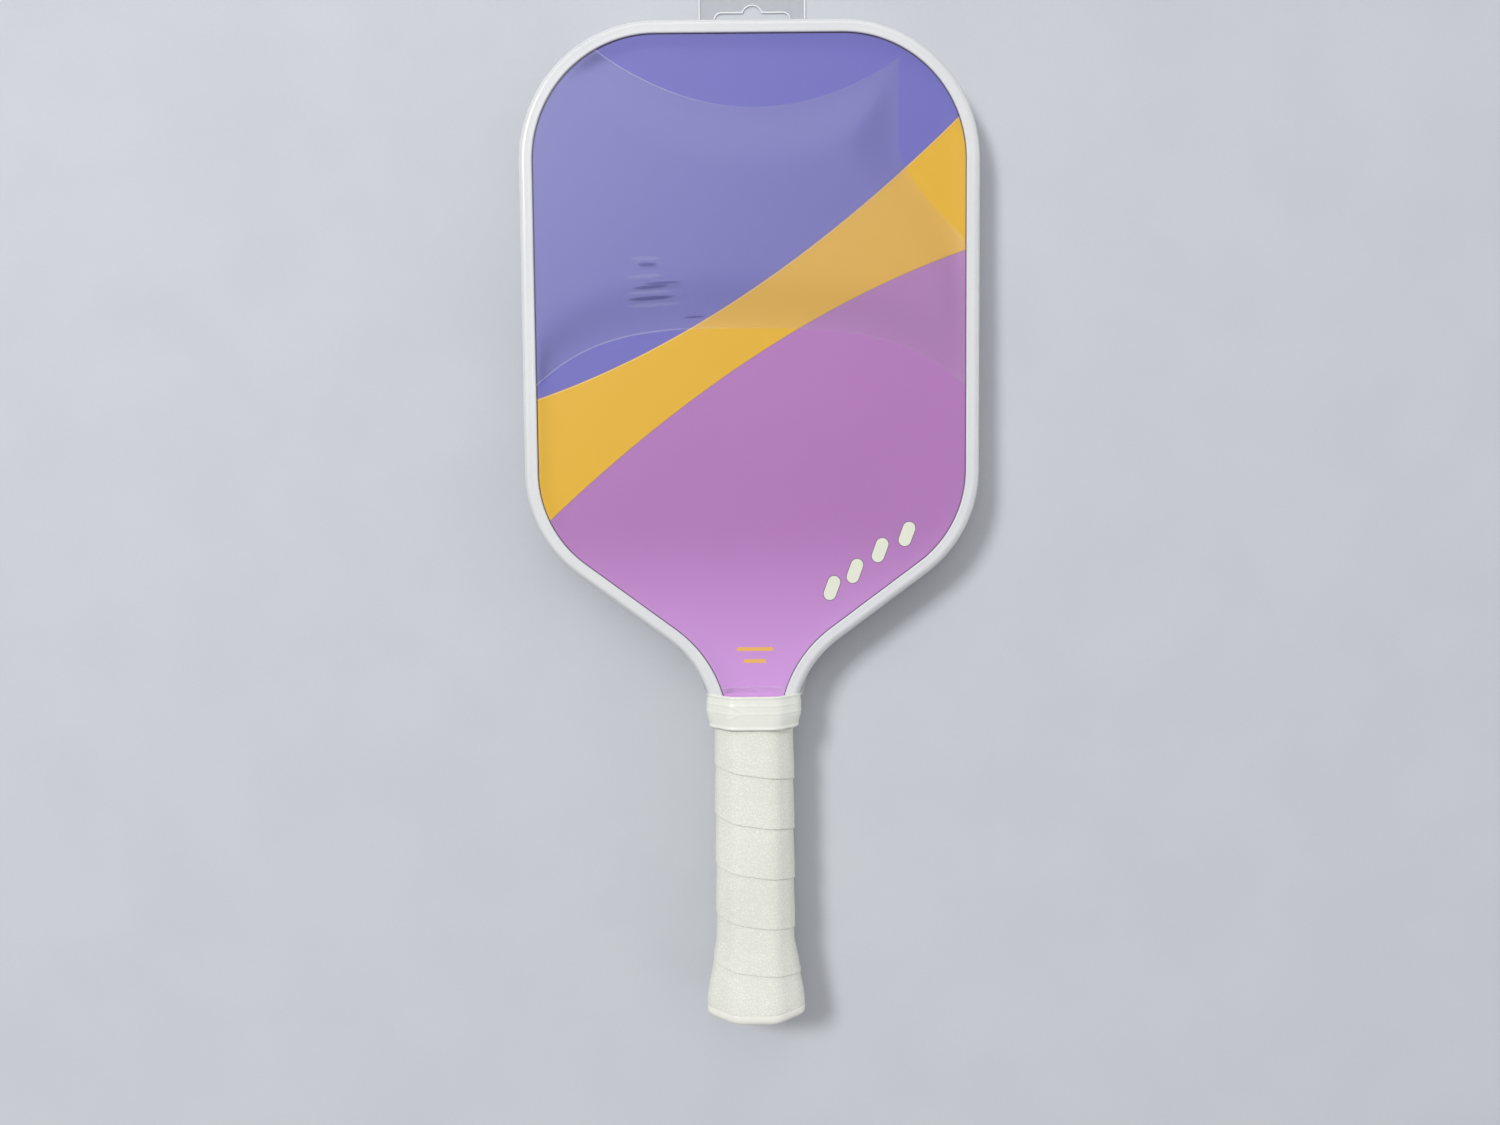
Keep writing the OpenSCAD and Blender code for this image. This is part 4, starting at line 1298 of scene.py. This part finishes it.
@dataclass(frozen=True)
class HeadSleeve:
    """The clear film drawn over the head: one bag, open at the neck."""

    datum: Datum
    outline: HeadOutline
    rest_h: float = 8.17
    cling_h: float = 7.07
    fold_in: float = 3.0
    end_s: float = 277.9
    spread: float = 1.6
    thick: float = 0.06
    lip_in: float = 6.2
    fall: float = 3.2
    loosening: float = 24.0

    def rows(self, count: int) -> np.ndarray:
        """Fractions down each column, closer together over the small wrinkles."""
        v = np.linspace(0, 1, 2001)
        weight = 1.0 + 2.2 * bump_at(v, 0.418, 0.05)
        way = np.concatenate([[0.0], np.cumsum((weight[1:] + weight[:-1]) / 2)])
        return np.interp(np.linspace(0, way[-1], count), way, v)

    def front_h(self, x: np.ndarray, s: np.ndarray) -> np.ndarray:
        """Height of the film over the front face.

        It lies on the guard's lip, drops to the print within a few millimetres of it, and
        stands off the print inside the cling lines, rising slowly away from them. Three
        short wrinkles are narrow ridges with a hollow below each.
        """
        upper, lower, side = cling_lines(x, s, ease(*RISE, s))
        inside = np.minimum(np.minimum(upper, lower), side)
        lifted = ease(0.0, self.loosening, inside)
        past = np.maximum(self.outline.depth(x, s) - self.lip_in, 0)
        near = np.exp(-(past / self.fall) ** 1.4)
        h = self.cling_h + (self.rest_h - self.cling_h) * (1 - (1 - near) * (1 - lifted))
        line = bump_at(np.minimum(upper, lower), 0.0, 0.9) * ease(-4, 1, side) * (1 - near)
        h = h + 0.05 * line
        for x0, x1, s0, tilt, size in ((-46, -36, 99.0, 0.05, 0.05), (-50, -28, 107.2, -0.08, 0.1),
                                       (-51, -29, 112.2, -0.04, 0.08)):
            mid, half = (x0 + x1) / 2, (x1 - x0) / 2
            off = s - s0 - tilt * (x - mid)
            reach = np.exp(-((x - mid) / half) ** 4)
            h = h + size * reach * (bump_at(off, 0.0, 0.8) - 0.5 * bump_at(off, 1.6, 1.2))
        return h

    def crisp_mouth(self, obj: bpy.types.Object) -> None:
        """Marks the sheet's open edge as sharp, so that its thickness does not shade it."""
        mesh = obj.data
        used = np.empty(len(mesh.loops), dtype=np.int32)
        mesh.loops.foreach_get("edge_index", used)
        count = np.bincount(used, minlength=len(mesh.edges))
        sharp = np.empty(len(mesh.edges), dtype=bool)
        mesh.edges.foreach_get("use_edge_sharp", sharp)
        mesh.edges.foreach_set("use_edge_sharp", sharp | (count == 1))

    def mark_face(self, obj: bpy.types.Object) -> None:
        """Stores on each point whether it lies over the print, 1, or over the guard, 0."""
        mesh = obj.data
        place = np.empty(len(mesh.vertices) * 3)
        mesh.vertices.foreach_get("co", place)
        place = place.reshape(-1, 3) / MM
        depth = self.outline.depth(place[:, 0], self.datum.top_y - place[:, 1])
        layer = mesh.attributes.new(OVER_FACE, "FLOAT", "POINT")
        over = ease(self.lip_in - 1.0, self.lip_in, depth)
        layer.data.foreach_set("value", over.astype(np.float32))

    def build(self) -> bpy.types.Object:
        """Front sheet, wrap round the guard and back sheet, joined point to point.

        The sheets are columns between the top and bottom edges at the fold; the wrap
        starts from their border's points and follows the guard's outer corner, a quarter
        round over the front, a straight side and a quarter round to the back.
        """
        x = self.outline.columns(self.fold_in, self.end_s, 22, 30)
        top = self.outline.top(x, self.fold_in)
        bottom = self.outline.bottom(x, self.fold_in, self.end_s)
        v = self.rows(132)[:, None]
        s = top + (bottom - top) * v
        xs = np.broadcast_to(x, s.shape)
        rows, cols = s.shape
        front = self.datum.place(xs, s, self.front_h(xs, s))
        back = self.datum.place(xs, s, -self.rest_h + 0.25 * ease(4.0, 40.0, self.outline.depth(
            xs, s)))
        neck = self.outline.neck_x(self.fold_in, self.end_s)
        loop = border(rows, cols)
        lx, ls = xs.reshape(-1)[loop], s.reshape(-1)[loop]
        mouth = (ls > self.end_s - 1e-6) & (np.abs(lx) < neck - 1e-6)
        turn = int(np.argmax(mouth))
        order = np.roll(np.arange(len(loop)), -turn)
        order = order[~mouth[order]]
        rim, rx, rs = loop[order], lx[order], ls[order]
        nx, ns = self.outline.outward(rx, np.minimum(rs, self.end_s - 0.1))
        bend = np.radians(np.linspace(90, 0, 6))[:-1]
        corner = CORNER_R + (self.rest_h - LIP_H)
        side_h = LIP_H - CORNER_R
        d = np.concatenate([CORNER_R - corner * np.cos(bend), [CORNER_R - corner] * 3])
        h = np.concatenate([side_h + corner * np.sin(bend), [side_h, 2.0, 0.0]])
        d, h = np.concatenate([d, d[-2::-1]]), np.concatenate([h, -h[-2::-1]])
        wider = 1 + self.spread / self.fold_in * ease(267.0, 279.0, rs)
        out = (self.fold_in - d)[:, None] * wider
        wrap = self.datum.place(rx + out * nx, rs + out * ns, h[:, None] + 0 * rx)
        count = rows * cols
        points = np.concatenate([front.reshape(-1, 3), back.reshape(-1, 3), wrap.reshape(-1, 3)])
        quads = grid_faces(rows, cols)
        k = len(rim)
        ladder = np.concatenate([rim[None], 2 * count + np.arange(len(d) * k).reshape(-1, k),
                                 rim[None] + count])
        skirt = np.stack([ladder[:-1, :-1], ladder[:-1, 1:], ladder[1:, 1:], ladder[1:, :-1]],
                         axis=-1).reshape(-1, 4)
        shape = Shape(points, np.concatenate([quads, quads[:, ::-1] + count, skirt]).tolist())
        finish = SleeveFinish("clear_sleeve", (236, 236, 242), (200, 200, 200), 0.18,
                              depth=0.004, wave=1.2, tint=0.002, glare=0.7, datum=self.datum)
        obj = shape.piece("head_sleeve", finish, "film", ("head_film",), 75.0, 1e-6)
        self.mark_face(obj)
        self.crisp_mouth(obj)
        wall = obj.modifiers.new("film_thickness", "SOLIDIFY")
        wall.thickness, wall.offset = self.thick * MM, 0.0
        return obj


@dataclass(frozen=True)
class Insides:
    """The CAD nodes that keep their own shape, each with its finish."""

    datum: Datum

    def dress(self) -> None:
        """Gives every node its material."""
        finishes = {
            ("honeycomb_core",): Finish("honeycomb_polymer", (222, 224, 222), (206, 210, 210),
                                        0.42, scale=900.0, depth=0.02, coat=0.2),
            ("core_bond_front", "core_bond_back"): Finish(
                "resin_film", (214, 198, 140), (196, 178, 118), 0.3, scale=300.0, depth=0.03,
                wave=0.8),
            ("face_sheet_front", "face_sheet_back"): Finish(
                "glass_cloth_sheet", (206, 210, 200), (178, 184, 172), 0.35, 0.08,
                Texture.WEAVE, 2100.0, 0.05, crease=0.6, coat=0.3),
            ("edge_guard_tape",): Finish("foam_edge_tape", (214, 214, 208), (200, 200, 192),
                                         0.7, scale=700.0, depth=0.05),
            ("handle_half_front", "handle_half_back"): Finish(
                "foamed_handle", (58, 58, 62), (46, 46, 50), 0.62, scale=420.0, depth=0.12,
                fine=500.0),
            ("butt_cap_pins",): Finish("pin_steel", (188, 190, 194), (168, 170, 176), 0.28,
                                       0.12, scale=2200.0, depth=0.01, metallic=1.0),
            ("grip_backing_tape",): Finish("paper_backing", (206, 186, 140), (192, 170, 122),
                                           0.75, scale=1200.0, depth=0.05, fine=1600.0),
            ("grip_finishing_tape",): Finish("vinyl_band", (226, 228, 222), (214, 217, 212),
                                             0.3, scale=500.0, depth=0.02, coat=0.3),
            ("hang_tab_adhesive",): ClearFinish(
                "clear_adhesive", (214, 214, 210), (200, 200, 200), 0.3, depth=0.02,
                tint=0.03, glare=0.3),
            ("hang_tab",): TabFinish("clear_tab", (196, 200, 206), (200, 200, 200), 0.14,
                                     depth=0.01, wave=0.6, tint=0.12, glare=0.9,
                                     datum=self.datum),
        }
        for nodes, finish in finishes.items():
            for node in nodes:
                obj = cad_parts[node]
                obj.data.materials.clear()
                obj.data.materials.append(finish.material())
                LOG.info("%s: %s", node, finish.name)


# ---------------------------------------------------------------- studio


@dataclass(frozen=True)
class Studio:
    """Floor, lamps, surroundings and camera."""

    datum: Datum
    focal: float = 1155.0
    frame_w: float = 1500.0
    tilt: float = math.radians(3.54)
    roll: float = math.radians(-0.49)
    eye_x: float = -1.12
    eye_s: float = 192.85
    eye_h: float = 491.95

    def camera(self) -> None:
        """Looks down on the paddle, tilted a little towards the butt."""
        data = bpy.data.cameras.new("eye")
        data.sensor_width = 36.0
        data.lens = 36.0 * self.focal / self.frame_w
        data.clip_start, data.clip_end = 0.01, 20.0
        ahead = Vector((0.0, -math.sin(self.tilt), -math.cos(self.tilt)))
        up = Vector((0.0, math.cos(self.tilt), -math.sin(self.tilt)))
        right = Vector((1.0, 0.0, 0.0))
        c, k = math.cos(self.roll), math.sin(self.roll)
        right, up = right * c + up * k, up * c - right * k
        turned = Matrix((right, up, -ahead)).transposed().to_4x4()
        place = Vector((self.eye_x, self.datum.top_y - self.eye_s,
                        self.datum.mid_z + self.eye_h)) * MM
        eye = link("eye", data)
        eye.matrix_world = Matrix.Translation(place) @ turned
        bpy.context.scene.camera = eye

    def floor(self) -> None:
        """A pale plane that the paddle rests on with its collar and its hang tab.

        It rises in a straight line from just under the collar's belly to just under the
        tab's far edge.
        """
        belly_s, belly_z = 285.0, 0.02
        tab_s, tab_z = -18.5, 7.6
        rise = (tab_z - belly_z) / (belly_s - tab_s)
        grid = np.linspace(-3.0, 3.0, 9)
        gx, gy = np.meshgrid(grid, grid)
        gz = belly_z * MM + rise * (gy - (self.datum.top_y - belly_s) * MM)
        mesh = bpy.data.meshes.new("floor")
        mesh.from_pydata(np.stack([gx, gy, gz], axis=-1).reshape(-1, 3), [],
                         grid_faces(9, 9).tolist())
        finish = Finish("pale_floor", (198, 201, 206), (194, 197, 203), 0.7, 0.05,
                        scale=400.0, depth=0.02, dust=0.0)
        mesh.materials.append(finish.material())
        link("floor", mesh)

    def lamp(self, name: str, place: tuple, power: float, size: float) -> None:
        """A soft square lamp aimed at the middle of the paddle."""
        data = bpy.data.lights.new(name, "AREA")
        data.shape, data.size, data.energy = "SQUARE", size, power
        turned = (-Vector(place)).to_track_quat("-Z", "Y").to_matrix().to_4x4()
        link(name, data).matrix_world = Matrix.Translation(place) @ turned

    def surroundings(self) -> None:
        """A grey world, brighter high on the left and low on the right."""
        world = bpy.data.worlds.new("room")
        world.use_nodes = True
        world.node_tree.nodes.clear()
        g = Graph(world.node_tree)
        way = g.wire("Generated", "TexCoord")

        def glow(direction: tuple, width: float) -> Wire:
            unit = tuple(Vector(direction).normalized())
            dot = g.wire("Value", "VectorMath", {0: way, 1: unit}, operation="DOT_PRODUCT")
            return g.ramp(dot, math.cos(math.radians(width)), 1.0)

        power = glow((-0.25, 0.62, 1.0), 30.0) * 1.2 + glow((1.0, 0.1, 0.4), 50.0) * 0.8 + 0.36
        back = g.wire(0, "Background", {"Color": linear((250, 250, 252)), "Strength": power})
        g.add("OutputWorld", {0: back})
        bpy.context.scene.world = world

    def build(self) -> None:
        """Sets up the whole studio."""
        self.camera()
        self.floor()
        self.surroundings()
        self.lamp("left_lamp", (-1.76, 1.36, 2.96), 77.0, 0.75)
        self.lamp("high_lamp", (0.5, 2.2, 1.7), 5.0, 1.6)
        bpy.context.scene.view_settings.view_transform = "Standard"


def main() -> None:
    """Builds the paddle's sub-assemblies in order and reports each piece."""
    logging.basicConfig(level=logging.INFO, format="%(name)s %(message)s")
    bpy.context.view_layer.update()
    datum = Datum.from_model()
    outline = HeadOutline()
    Studio(datum).build()
    for side in Side:
        PrintedFace(datum, outline, side).build()
    EdgeGuard(datum, outline).build()
    GripCollar(datum).build()
    WrappedGrip(datum).build()
    ButtCap(datum).build()
    HeadSleeve(datum, outline).build()
    Insides(datum).dress()


if __name__ == "__main__":
    main()
